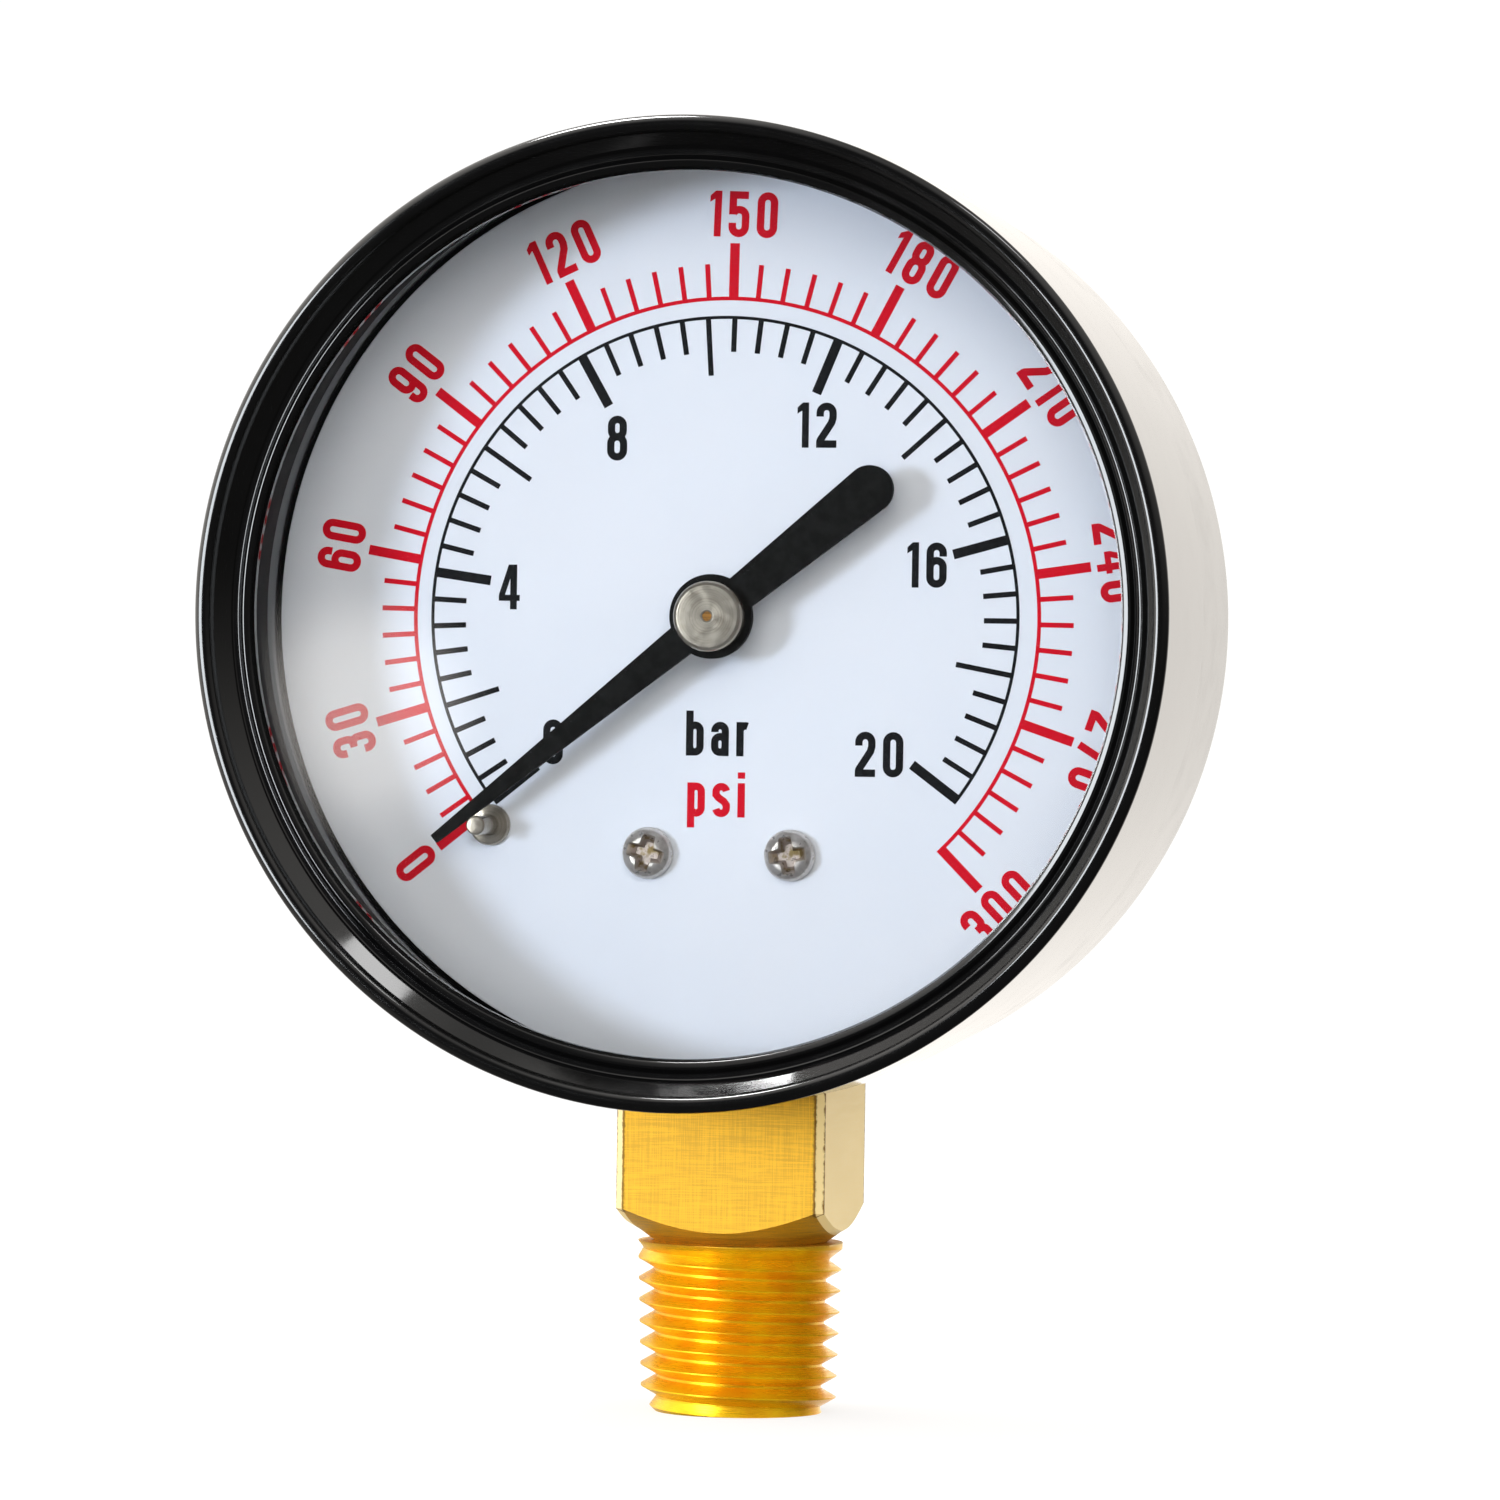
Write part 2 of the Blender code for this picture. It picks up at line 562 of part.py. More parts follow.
def tube_sweep(thickness, width, start, end, steps):
    """A round-edged flat section swept along the tube's arc between two clock angles."""
    bm = bmesh.new()
    radius = thickness / 2
    straight = width / 2 - radius
    section = []
    for i in range(10):
        angle = math.radians(36 * i + 18)
        along = radius * math.sin(angle)
        section.append((radius * math.cos(angle), along + math.copysign(straight, along)))
    first_x, first_z = polar(1, start)
    points = []
    for out, along in section:
        distance = TUBE_RADIUS + out
        points.append(bm.verts.new((first_x * distance, TUBE_MIDDLE + along, first_z * distance)))
    face = bm.faces.new(points)
    bmesh.ops.spin(
        bm,
        geom=[face],
        cent=(0, 0, 0),
        axis=(0, 1, 0),
        angle=math.radians(end - start),
        steps=steps,
    )
    bmesh.ops.remove_doubles(bm, verts=bm.verts, dist=1e-4)
    return bm


def make_tube(dial, tip_axis, link_axis, pin_at, bronze, brass, steel):
    """The hollow tube, open at its root, then the end piece and the link that it pulls."""
    tube = tube_sweep(TUBE_THICKNESS, TUBE_WIDTH, TUBE_IN_BLOCK, TUBE_TIP, TUBE_STEPS)
    tube = store("bourdon_tube", tube, bronze, dial)
    step = (TUBE_TIP - TUBE_IN_BLOCK) / TUBE_STEPS
    bore = (TUBE_THICKNESS - 2 * TUBE_WALL, TUBE_WIDTH - 2 * TUBE_WALL)
    inside = tube_sweep(*bore, TUBE_IN_BLOCK - step, TUBE_TIP - step, TUBE_STEPS)
    cut(tube, "bourdon_tube_inside", inside, dial)
    make_tube_tip(dial, tip_axis, pin_at, brass, steel)
    make_link(link_axis, steel)


def make_tube_tip(dial, tip_axis, pin_at, brass, steel):
    """The end piece brazed over the tube's closed end, with a lug that carries the link's pin."""
    origin = tip_axis.location / MM
    inner, outer = TUBE_RADIUS - TUBE_THICKNESS / 2 - 0.8, TUBE_RADIUS + TUBE_THICKNESS / 2 + 0.8
    cap = arc(outer, TUBE_TIP - 4, TUBE_TIP + 3.5, 3) + arc(inner, TUBE_TIP + 3.5, TUBE_TIP - 4, 3)
    cap = [(x - origin.x, z - origin.z) for x, z in cap]
    half = TUBE_WIDTH / 2 + 0.9
    tip = store("tube_tip", prism(cap, TUBE_MIDDLE - half, TUBE_MIDDLE + half), brass, tip_axis)
    start_x, start_z = polar(inner + 0.6, TUBE_TIP + 0.5)
    reach = Vector((pin_at[0] - start_x, pin_at[1] - start_z))
    heading = math.degrees(math.atan2(reach.x, reach.y))
    lug = arc(1.15, heading - 90, heading + 90, 6, pin_at)
    lug += arc(1.9, heading + 90, heading + 270, 1, (start_x, start_z))
    lug = [(x - origin.x, z - origin.z) for x, z in lug]
    combine(tip, store("tube_tip_lug", prism(lug, *SECTOR_LAYER), None, tip_axis), "UNION")
    pocket = tube_sweep(TUBE_THICKNESS + 0.4, TUBE_WIDTH + 0.4, TUBE_TIP - 12, TUBE_TIP + 1, 5)
    cut(tip, "tube_tip_pocket", pocket, dial)
    front, rear = SECTOR_LAYER
    drill(tip, "tube_tip_hole", dial, hole_radius(LINK_PIN_RADIUS, 0.05), pin_at, front - 1, rear + 1)
    store("tip_pin", turned(link_pin()), steel, tip_axis, (pin_at[0] - origin.x, 0, pin_at[1] - origin.z))


def make_link(link_axis, steel):
    far = polar(-LINK_LENGTH, LINK_CLOCK)
    outline = arc(1.1, LINK_CLOCK - 90, LINK_CLOCK + 90, 6)
    outline += arc(1.1, LINK_CLOCK + 90, LINK_CLOCK + 270, 6, far)
    link = store("link", prism(outline, *LINK_LAYER), steel, link_axis)
    front, rear = LINK_LAYER
    drill(link, "link_tip_hole", link_axis, hole_radius(LINK_PIN_RADIUS), (0, 0), front - 1, rear + 1)
    drill(link, "link_sector_hole", link_axis, hole_radius(LINK_PIN_RADIUS, 0.15), far, front - 1, rear + 1)


def make_hairspring(dial, bronze, brass):
    steps = 15 * SPRING_TURNS
    outer, inner = [], []
    for i in range(steps + 1):
        share = i / steps
        radius = SPRING_START + (SPRING_END - SPRING_START) * share
        clock = 270 - 360 * SPRING_TURNS * (1 - share)
        outer.append(polar(radius + SPRING_STRIP / 2, clock))
        inner.append(polar(radius - SPRING_STRIP / 2, clock))
    store("hairspring", prism(outer + inner[::-1], *SPRING_LAYER), bronze, dial)
    stud = [(0, FRONT_PLATE[1] + 0.05), (0.6, FRONT_PLATE[1] + 0.05), (0.6, 5.6), (0, 5.6)]
    store("hairspring_stud", turned(stud), brass, dial, (-SPRING_END - 0.8, 0, 0))


def make_plates(dial, sector_at, brass, nickel):
    outline = rounded_rectangle(-PLATE_HALF_WIDTH, PLATE_HALF_WIDTH, -19.0, PLATE_TOP, 2.5)
    waist = -19.5
    upper = [point for point in outline if point[1] > -15]
    front = [p for p in upper if p[0] > 0]
    front += [(PLATE_HALF_WIDTH, waist), (9.2, FRONT_PLATE_BOTTOM)]
    front += [(-9.2, FRONT_PLATE_BOTTOM), (-PLATE_HALF_WIDTH, waist)]
    front += [p for p in upper if p[0] < 0]
    front = store("front_plate", prism(front, *FRONT_PLATE), brass, dial)
    rear = rounded_rectangle(-PLATE_HALF_WIDTH, PLATE_HALF_WIDTH, REAR_PLATE_BOTTOM, PLATE_TOP, 2.5)
    rear = store("rear_plate", prism(rear, *REAR_PLATE), brass, dial)
    through_front = (FRONT_PLATE[0] - 1, FRONT_PLATE[1] + 1)
    through_rear = (REAR_PLATE[0] - 1, REAR_PLATE[1] + 1)
    drill(front, "front_plate_pinion_hole", dial, hole_radius(0.6), (0, 0), *through_front)
    drill(front, "front_plate_sector_hole", dial, hole_radius(0.45), sector_at, *through_front)
    drill(rear, "rear_plate_pinion_hole", dial, hole_radius(0.4), (0, 0), *through_rear)
    drill(rear, "rear_plate_sector_hole", dial, hole_radius(0.45), sector_at, *through_rear)
    for side, at in DIAL_SCREWS.items():
        drill(front, f"front_plate_dial_hole_{side}", dial, hole_radius(1.0), at, *through_front)
    for side, at in MOVEMENT_SCREWS.items():
        drill(front, f"front_plate_block_hole_{side}", dial, 1.25, at, *through_front)
        seat = FRONT_PLATE[0] - THIN_GAP
        screw(f"movement_screw_{side}", nickel, dial, at, seat, (1.9, 1.3), (1.0, 5.2), cross=False)
    for name, at in PILLARS.items():
        spigot_hole = hole_radius(SPIGOT_RADIUS)
        drill(front, f"front_plate_pillar_hole_{name}", dial, spigot_hole, at, *through_front)
        drill(rear, f"rear_plate_pillar_hole_{name}", dial, 0.85, at, *through_rear)
        body_front, body_rear = FRONT_PLATE[1] + THIN_GAP, REAR_PLATE[0] - THIN_GAP
        pillar = [(0, FRONT_PLATE[0] - 0.2), (SPIGOT_RADIUS, FRONT_PLATE[0] - 0.2)]
        pillar += [(SPIGOT_RADIUS, body_front), (PILLAR_RADIUS, body_front)]
        pillar += [(PILLAR_RADIUS, body_rear), (0, body_rear)]
        pillar = store(f"pillar_{name}", turned(pillar), brass, dial, (at[0], 0, at[1]))
        bore = hole_radius(PLATE_SCREW_RADIUS)
        drill(pillar, f"pillar_bore_{name}", dial, bore, at, body_rear - 3, body_rear + 1)
        head, shank = (1.5, 0.9), (PLATE_SCREW_RADIUS, 3.5)
        seat = REAR_PLATE[1] + THIN_GAP
        screw(f"plate_screw_{name}", nickel, dial, at, seat, head, shank, cross=False, from_rear=True)


def main():
    clear_scene()
    brass = finish("brass", (0.83, 0.58, 0.2), 1.0, 0.28)
    movement_brass = finish("movement_brass", (0.8, 0.6, 0.27), 1.0, 0.32)
    bronze = finish("bronze", (0.72, 0.45, 0.22), 1.0, 0.3)
    steel = finish("steel", (0.6, 0.6, 0.62), 1.0, 0.3)
    nickel = finish("nickel", (0.66, 0.63, 0.57), 1.0, 0.28)
    case_black = finish("case_black", (0.008, 0.008, 0.009), 0.0, 0.16)
    bezel_black = finish("bezel_black", (0.01, 0.01, 0.012), 0.0, 0.12)
    pointer_black = finish("pointer_black", (0.012, 0.012, 0.013), 0.0, 0.5)
    white = finish("dial_white", (0.78, 0.84, 0.92), 0.0, 0.45)
    clear = finish("window_clear", (1.0, 1.0, 1.0), 0.0, 0.03)
    clear.node_tree.nodes["Principled BSDF"].inputs["Transmission Weight"].default_value = 1.0
    rubber = finish("rubber_black", (0.02, 0.02, 0.02), 0.0, 0.8)

    dial = empty("dial_centre", (0, -DIAL_SET_FORWARD, DIAL_HEIGHT))
    sector_at = polar(PINION_RADIUS + SECTOR_RADIUS, SECTOR_CLOCK)
    tail_x, tail_z = polar(TAIL_LENGTH, TAIL_CLOCK)
    link_x, link_z = polar(LINK_LENGTH, LINK_CLOCK)
    pin_at = (sector_at[0] + tail_x + link_x, sector_at[1] + tail_z + link_z)
    sweep = math.radians(TUBE_TIP - TUBE_LEAVES_BLOCK)
    flex_at = polar(TUBE_RADIUS * math.sin(sweep / 2) / (sweep / 2), (TUBE_TIP + TUBE_LEAVES_BLOCK) / 2)
    pointer_axis = empty("pointer_axis", (0, 0, 0), dial)
    sector_axis = empty("sector_axis", (sector_at[0], 0, sector_at[1]), dial)
    tip_axis = empty("tip_axis", (flex_at[0], 0, flex_at[1]), dial)
    link_axis = empty("link_axis", (pin_at[0], 0, pin_at[1]), dial)

    make_socket(dial, brass)
    make_case(dial, case_black, rubber)
    make_bezel(dial, bezel_black)
    make_window(dial, clear, rubber)
    make_dial(dial, white, nickel, movement_brass)
    make_pointer(pointer_axis, pointer_black, nickel, movement_brass)
    make_sector(dial, sector_axis, movement_brass, steel)
    make_tube(dial, tip_axis, link_axis, pin_at, bronze, movement_brass, steel)
    make_hairspring(dial, bronze, movement_brass)
    make_plates(dial, sector_at, movement_brass, nickel)
    for side, at in CASE_SCREWS.items():
        seat = CASE_REAR + THIN_GAP
        screw(f"case_screw_{side}", nickel, dial, at, seat, (2.6, 1.2), (1.3, 4.2), from_rear=True)


main()
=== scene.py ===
"""Looks of the pressure gauge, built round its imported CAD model.

Lengths are in millimetres and are scaled to metres where a mesh becomes an object. Parts at the dial are laid
out from the dial's centre, where y is 0 on the dial's face and grows to the rear. The stem is laid out from
the middle of its end face. Clock angles are in degrees, clockwise from the top as seen from the front.
"""

import math

import bmesh
import bpy
from mathutils import Matrix, Vector
from mathutils.geometry import delaunay_2d_cdt


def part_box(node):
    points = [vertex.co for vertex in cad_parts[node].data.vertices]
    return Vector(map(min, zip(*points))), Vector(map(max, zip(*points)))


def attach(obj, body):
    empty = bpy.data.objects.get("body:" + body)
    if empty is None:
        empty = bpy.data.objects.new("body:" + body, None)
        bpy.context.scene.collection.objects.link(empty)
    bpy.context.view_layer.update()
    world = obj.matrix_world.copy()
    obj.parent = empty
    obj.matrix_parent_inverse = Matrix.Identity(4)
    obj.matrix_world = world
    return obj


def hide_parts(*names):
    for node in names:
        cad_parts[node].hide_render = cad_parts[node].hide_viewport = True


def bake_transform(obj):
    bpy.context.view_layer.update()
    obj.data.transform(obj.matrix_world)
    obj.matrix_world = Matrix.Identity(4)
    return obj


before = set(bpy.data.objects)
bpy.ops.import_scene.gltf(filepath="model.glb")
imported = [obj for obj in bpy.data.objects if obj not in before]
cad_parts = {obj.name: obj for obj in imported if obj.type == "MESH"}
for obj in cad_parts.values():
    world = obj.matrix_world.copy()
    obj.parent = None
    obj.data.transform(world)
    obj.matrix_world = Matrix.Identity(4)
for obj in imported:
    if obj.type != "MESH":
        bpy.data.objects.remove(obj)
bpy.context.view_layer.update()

MM = 0.001
FINE = 256  # steps round a turned body, by its size
MEDIUM = 96
SMALL = 64
SMOOTH_ANGLE = 32

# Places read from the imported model
DIAL_LOW, DIAL_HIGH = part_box("dial")
CENTRE = Vector(((DIAL_LOW.x + DIAL_HIGH.x) / 2, DIAL_LOW.y, (DIAL_LOW.z + DIAL_HIGH.z) / 2))
STEM_END = Vector((0, 0, 0))

# Print on the dial
SCALE_ZERO = -128.7  # clock of the zero marks, where both arcs start
PSI_START = -133.93
PSI_ARC = 20.89
PSI_STEP = 4.49
PSI_DIVISIONS = 60
PSI_LONG = (24.5, 0.64)  # outer end and width of a tick
PSI_SHORT = (23.17, 0.33)
PSI_SHIFT = (0.12, -0.04)
BAR_START = -134.03
BAR_ARC = 19.61
BAR_STEP = 5.212
BAR_DIVISIONS = 50
BAR_LONG = (15.86, 0.645)
BAR_MIDDLE = (15.82, 0.35)
BAR_SHORT = (17.36, 0.35)
ARC_STEPS = 180
LABEL_RADIUS = 26.4
RED_HEIGHT = 3.0
BLACK_HEIGHT = 2.95
PRINT_FRONT = -0.02
PRINT_REAR = 0.01
LETTER_GAP = 0.17

SEAM = 3.9  # how far behind the dial's face the line round the case runs

# Stem
THREAD_PITCH = 25.4 / 18
THREAD_END_RADIUS = 6.45
THREAD_TAPER = 1 / 32
THREAD_DEPTH = 1.0
THREAD_LENGTH = 11.3
THREAD_CHAMFER = 0.9
SQUARE = 14.0
SQUARE_CORNER = 0.55
SQUARE_START = 12.2
CONE_SLOPE = math.tan(math.radians(30))

# Bourdon tube: the arc of its middle line, and the clock angles of its fixed and moving stretches
TUBE_RADIUS = 23.5
TUBE_MIDDLE = 8.6
TUBE_ROOT = 196
TUBE_BENDS_FROM = 215  # also the end of the slot that the block has for it
TUBE_MEETS_TIP = 468
TUBE_END = 472
TUBE_OPEN = 6  # how far the bore is turned back, so that it is open at the root and shut at the tip

LAMP_DISTANCE = 0.6


# ---------------------------------------------------------------------------------------------- shapes


def box_of(node, origin=CENTRE):
    """Lowest and highest corner of a CAD node from an origin, in millimetres."""
    low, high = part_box(node)
    return (low - origin) / MM, (high - origin) / MM


def middle_of(node):
    """Middle of a CAD node on the dial's plane, as (x, z) from the dial's centre."""
    low, high = box_of(node)
    return (low.x + high.x) / 2, (low.z + high.z) / 2


def polar(radius, clock):
    return radius * math.sin(math.radians(clock)), radius * math.cos(math.radians(clock))


def arc(radius, start, end, steps, centre=(0, 0), squash=1.0):
    """Points (x, z) on an arc between two clock angles, its height scaled by squash."""
    clocks = (start + (end - start) * i / steps for i in range(steps + 1))
    return [(centre[0] + x, centre[1] + squash * z) for x, z in (polar(radius, clock) for clock in clocks)]


def rounded(corners, closed=False, steps=6):
    """A path through (u, v, radius) corners, each rounded by an arc of its radius."""
    count = len(corners)
    path = []
    for i, (u, v, radius) in enumerate(corners):
        here = Vector((u, v))
        if radius == 0 or (not closed and i in (0, count - 1)):
            path.append((u, v))
            continue
        before = Vector(corners[i - 1][:2]) - here
        after = Vector(corners[(i + 1) % count][:2]) - here
        half = before.angle(after) / 2
        reach = min(radius / math.tan(half), 0.49 * before.length, 0.49 * after.length)
        start, end = here + before.normalized() * reach, here + after.normalized() * reach
        centre = here + (before.normalized() + after.normalized()).normalized() * reach / math.cos(half)
        turn = (start - centre).angle_signed(end - centre)
        for step in range(steps + 1):
            spoke = (start - centre).copy()
            spoke.rotate(Matrix.Rotation(-turn * step / steps, 2))
            path.append(tuple(centre + spoke))
    return path


def turned(profile, segments=FINE, ring=False, upright=False):
    """A body turned about Y, or Z when upright, from (radius, height) points. A ring's profile closes."""
    bm = bmesh.new()
    points = [bm.verts.new((radius, height, 0)) for radius, height in profile]
    edges = [bm.edges.new(pair) for pair in zip(points, points[1:])]
    if ring:
        edges.append(bm.edges.new((points[-1], points[0])))
    bmesh.ops.spin(
        bm, geom=points + edges, cent=(0, 0, 0), axis=(0, 1, 0),
        angle=math.tau, steps=segments, use_merge=True,
    )
    bmesh.ops.remove_doubles(bm, verts=bm.verts, dist=1e-4)
    if upright:
        bm.transform(Matrix.Rotation(math.pi / 2, 4, "X"))
    return bm


def flat(outlines, holes=()):
    """Triangles that cover every outline and leave the holes open, as (points, faces)."""
    points, faces = [], []
    for outline in [*outlines, *holes]:
        area = sum(a[0] * b[1] - b[0] * a[1] for a, b in zip(outline, outline[1:] + outline[:1]))
        faces.append(list(range(len(points), len(points) + len(outline))))
        points += [Vector(point) for point in (outline if area > 0 else outline[::-1])]
    made = delaunay_2d_cdt(points, [], faces, 0, 1e-5, True)
    kept = [face for face, sources in zip(made[2], made[5]) if sources and max(sources) < len(outlines)]
    return made[0], kept


def sheet(outlines, front, rear, holes=()):
    """A plate of (x, z) outlines between two depths."""
    points, faces = flat(outlines, holes)
    bm = bmesh.new()
    corners = [bm.verts.new((x, front, z)) for x, z in points]
    made = [bm.faces.new([corners[i] for i in face]) for face in faces]
    bmesh.ops.delete(bm, geom=[v for v in bm.verts if not v.link_faces], context="VERTS")
    moved = bmesh.ops.extrude_face_region(bm, geom=made)["geom"]
    rear_side = [part for part in moved if isinstance(part, bmesh.types.BMVert)]
    bmesh.ops.translate(bm, verts=rear_side, vec=(0, rear - front, 0))
    return bm


def loft(sections):
    """A closed body through sections, each a list of the same number of points in space."""
    bm = bmesh.new()
    rows = [[bm.verts.new(point) for point in section] for section in sections]
    for low, high in zip(rows, rows[1:]):
        for i in range(len(low)):
            j = (i + 1) % len(low)
            bm.faces.new((low[i], low[j], high[j], high[i]))
    bm.faces.new(rows[0])
    bm.faces.new(rows[-1][::-1])
    return bm


def drop(bm):
    """The bmesh as a helper object in the scene, still in millimetres."""
    bmesh.ops.recalc_face_normals(bm, faces=bm.faces)
    mesh = bpy.data.meshes.new("helper")
    bm.to_mesh(mesh)
    bm.free()
    made = bpy.data.objects.new("helper", mesh)
    bpy.context.scene.collection.objects.link(made)
    return made


def joined(first, steps):
    """The first bmesh after a list of (operation, bmesh) steps."""
    base = drop(first)
    others = []
    for operation, bm in steps:
        others.append(drop(bm))
        step = base.modifiers.new(operation, "BOOLEAN")
        step.operation = operation
        step.solver = "EXACT"
        step.object = others[-1]
    evaluated = base.evaluated_get(bpy.context.evaluated_depsgraph_get())
    made = bmesh.new()
    made.from_mesh(evaluated.to_mesh())
    evaluated.to_mesh_clear()
    for helper in [base, *others]:
        bpy.data.objects.remove(helper)
    return made


def moved(bm, x=0.0, y=0.0, z=0.0, clock=0.0):
    """The bmesh turned clockwise about Y, then moved."""
    bm.transform(Matrix.Translation((x, y, z)) @ Matrix.Rotation(math.radians(clock), 4, "Y"))
    return bm


def piece(
    name, bm, material, body, nodes=(),
    at=CENTRE, clock=0.0, bevel=0.0, smooth=SMOOTH_ANGLE,
):
    """The bmesh as a piece of the gauge. It rides on a CAD body and stands for CAD nodes."""
    bmesh.ops.recalc_face_normals(bm, faces=bm.faces)
    bm.transform(Matrix.Scale(MM, 4))
    mesh = bpy.data.meshes.new(name)
    bm.to_mesh(mesh)
    bm.free()
    mesh.materials.append(material)
    mesh.shade_smooth()
    mesh.set_sharp_from_angle(angle=math.radians(smooth))
    made = bpy.data.objects.new(name, mesh)
    bpy.context.scene.collection.objects.link(made)
    made.location = at
    made.rotation_euler = (0, math.radians(clock), 0)
    if bevel:
        edge = made.modifiers.new("edges", "BEVEL")
        edge.width = bevel * MM
        edge.segments = 3
        edge.limit_method = "ANGLE"
        edge.angle_limit = math.radians(40)
        edge.harden_normals = True
    if body:
        shading = made.modifiers.new("shading", "WEIGHTED_NORMAL")
        shading.keep_sharp = True
        shading.weight = 90
    bpy.context.view_layer.update()
    if body:
        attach(made, body)
    if nodes:
        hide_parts(*nodes)
    return made


# ------------------------------------------------------------------------------------------- materials


class Look:
    """A Principled material whose textures are laid out in the object's own millimetres."""

    def __init__(self, name, colour, metallic=0.0, roughness=0.5, **sockets):
        self.material = bpy.data.materials.new(name)
        self.material.use_nodes = True
        self.tree = self.material.node_tree
        self.surface = self.tree.nodes["Principled BSDF"]
        self.surface.inputs["Base Color"].default_value = (*colour, 1)
        self.surface.inputs["Metallic"].default_value = metallic
        self.surface.inputs["Roughness"].default_value = roughness
        for socket, value in sockets.items():
            self.surface.inputs[socket.replace("_", " ")].default_value = value
        metres = self.add("ShaderNodeTexCoord").outputs["Object"]
        scaled = self.add("ShaderNodeVectorMath", {0: metres, 1: (1 / MM,) * 3}, operation="MULTIPLY")
        self.place = scaled.outputs[0]
        self.relief = None

    def add(self, kind, inputs=None, **settings):
        made = self.tree.nodes.new(kind)
        for key, value in settings.items():
            setattr(made, key, value)
        for key, value in (inputs or {}).items():
            if isinstance(value, bpy.types.NodeSocket):
                self.tree.links.new(value, made.inputs[key])
            else:
                made.inputs[key].default_value = value
        return made

    def math(self, operation, a, b=0.0):
        return self.add("ShaderNodeMath", {0: a, 1: b}, operation=operation).outputs[0]

    def stretched(self, x, y, z):
        scaled = self.add("ShaderNodeVectorMath", {0: self.place, 1: (x, y, z)}, operation="MULTIPLY")
        return scaled.outputs[0]

    def noise(self, scale, detail=3.0, rough=0.55, vector=None):
        """Noise from 0 to 1 with this many features per millimetre."""
        inputs = {"Vector": vector or self.place, "Scale": scale, "Detail": detail, "Roughness": rough}
        return self.add("ShaderNodeTexNoise", inputs).outputs["Fac"]

    def range(self, value, low, high, to_low=0.0, to_high=1.0):
        inputs = {"Value": value, "From Min": low, "From Max": high, "To Min": to_low, "To Max": to_high}
        return self.add("ShaderNodeMapRange", inputs, interpolation_type="SMOOTHSTEP").outputs["Result"]

    def axes(self):
        return self.add("ShaderNodeSeparateXYZ", {0: self.place}).outputs

    def round_axis(self, upright=False):
        """(distance from the axis, height along it, turn round it in radians)."""
        x, y, z = self.axes()
        u, v, height = (x, y, z) if upright else (x, z, y)
        radius = self.math("SQRT", self.math("ADD", self.math("MULTIPLY", u, u), self.math("MULTIPLY", v, v)))
        return radius, height, self.math("ARCTAN2", u, v)

    def point(self, x, y, z):
        return self.add("ShaderNodeCombineXYZ", {0: x, 1: y, 2: z}).outputs[0]

    def blend(self, share, a, b):
        """A colour from a to b."""
        mix = self.add("ShaderNodeMix", {"Factor": share}, data_type="RGBA")
        for socket, value in ((mix.inputs[6], a), (mix.inputs[7], b)):
            if isinstance(value, bpy.types.NodeSocket):
                self.tree.links.new(value, socket)
            else:
                socket.default_value = (*value, 1)
        return mix.outputs[2]

    def colour(self, value):
        self.tree.links.new(value, self.surface.inputs["Base Color"])

    def roughness(self, value):
        self.tree.links.new(value, self.surface.inputs["Roughness"])

    def bump(self, height, depth):
        """Raises the surface by up to depth millimetres, on top of earlier bumps."""
        inputs = {"Height": height, "Distance": depth * MM, "Strength": 1.0}
        if self.relief:
            inputs["Normal"] = self.relief
        self.relief = self.add("ShaderNodeBump", inputs).outputs[0]
        self.tree.links.new(self.relief, self.surface.inputs["Normal"])


def enamel(name, colour, low, high):
    """Glossy stoved paint: a faint orange peel, a few dust grains and slow changes of gloss."""
    look = Look(name, colour, 0.0, low, Specular_IOR_Level=0.7)
    cloudy = look.noise(0.35, 2.0)
    look.roughness(look.range(cloudy, 0.3, 0.75, low, high))
    look.colour(look.blend(look.noise(0.8), colour, tuple(1.6 * c for c in colour)))
    look.bump(look.noise(2.2, 2.0, 0.4), 0.0006)
    grains = look.add("ShaderNodeTexVoronoi", {"Vector": look.place, "Scale": 0.55}).outputs["Distance"]
    look.bump(look.range(grains, 0.0, 0.035, 1.0, 0.0), 0.004)
    return look.material


def turned_metal(name, colour, dark, roughness=0.25, metallic=1.0, spacing=0.12, depth=0.001):
    """Metal with the fine rings that a lathe leaves round the Y axis."""
    look = Look(name, colour, metallic, roughness)
    radius, height = (look.math("MULTIPLY", part, 1 / spacing) for part in look.round_axis()[:2])
    rings = look.noise(1.0, 3.0, 0.7, look.point(radius, height, 0.0))
    patches = look.math("MULTIPLY", look.noise(0.9, 4.0), 0.4)
    stain = look.math("ADD", patches, look.math("MULTIPLY", rings, 0.6))
    look.colour(look.blend(look.range(stain, 0.4, 0.7), colour, dark))
    look.roughness(look.range(look.noise(1.4, 3.0), 0.3, 0.7, roughness - 0.04, roughness + 0.06))
    look.bump(rings, depth)
    look.bump(look.noise(6.0, 3.0), 0.0003)
    return look.material


def screw_metal():
    """Plated screw head with turning rings, darker and browner towards the bottom of its recess."""
    look = Look("screw_nickel", (0.6, 0.57, 0.52), 0.6, 0.3)
    radius, height = look.round_axis()[:2]
    fine = (look.math("MULTIPLY", part, 9.0) for part in (radius, height))
    rings = look.noise(1.0, 2.0, 0.6, look.point(*fine, 0.0))
    # The colour turns darker and browner towards the bottom of the recess
    sunk = look.math("MULTIPLY", look.range(height, -1.2, -0.75), look.range(radius, 1.45, 1.2))
    metal = look.blend(look.range(look.noise(1.2, 4.0), 0.4, 0.7), (0.66, 0.62, 0.57), (0.45, 0.41, 0.36))
    recess_bottom_colour = look.blend(look.range(look.noise(1.6, 3.0), 0.45, 0.6), (0.45, 0.38, 0.33), (0.2, 0.14, 0.05))
    look.colour(look.blend(sunk, metal, recess_bottom_colour))
    look.roughness(look.range(look.noise(2.0, 3.0), 0.3, 0.7, 0.26, 0.4))
    look.bump(rings, 0.0012)
    return look.material


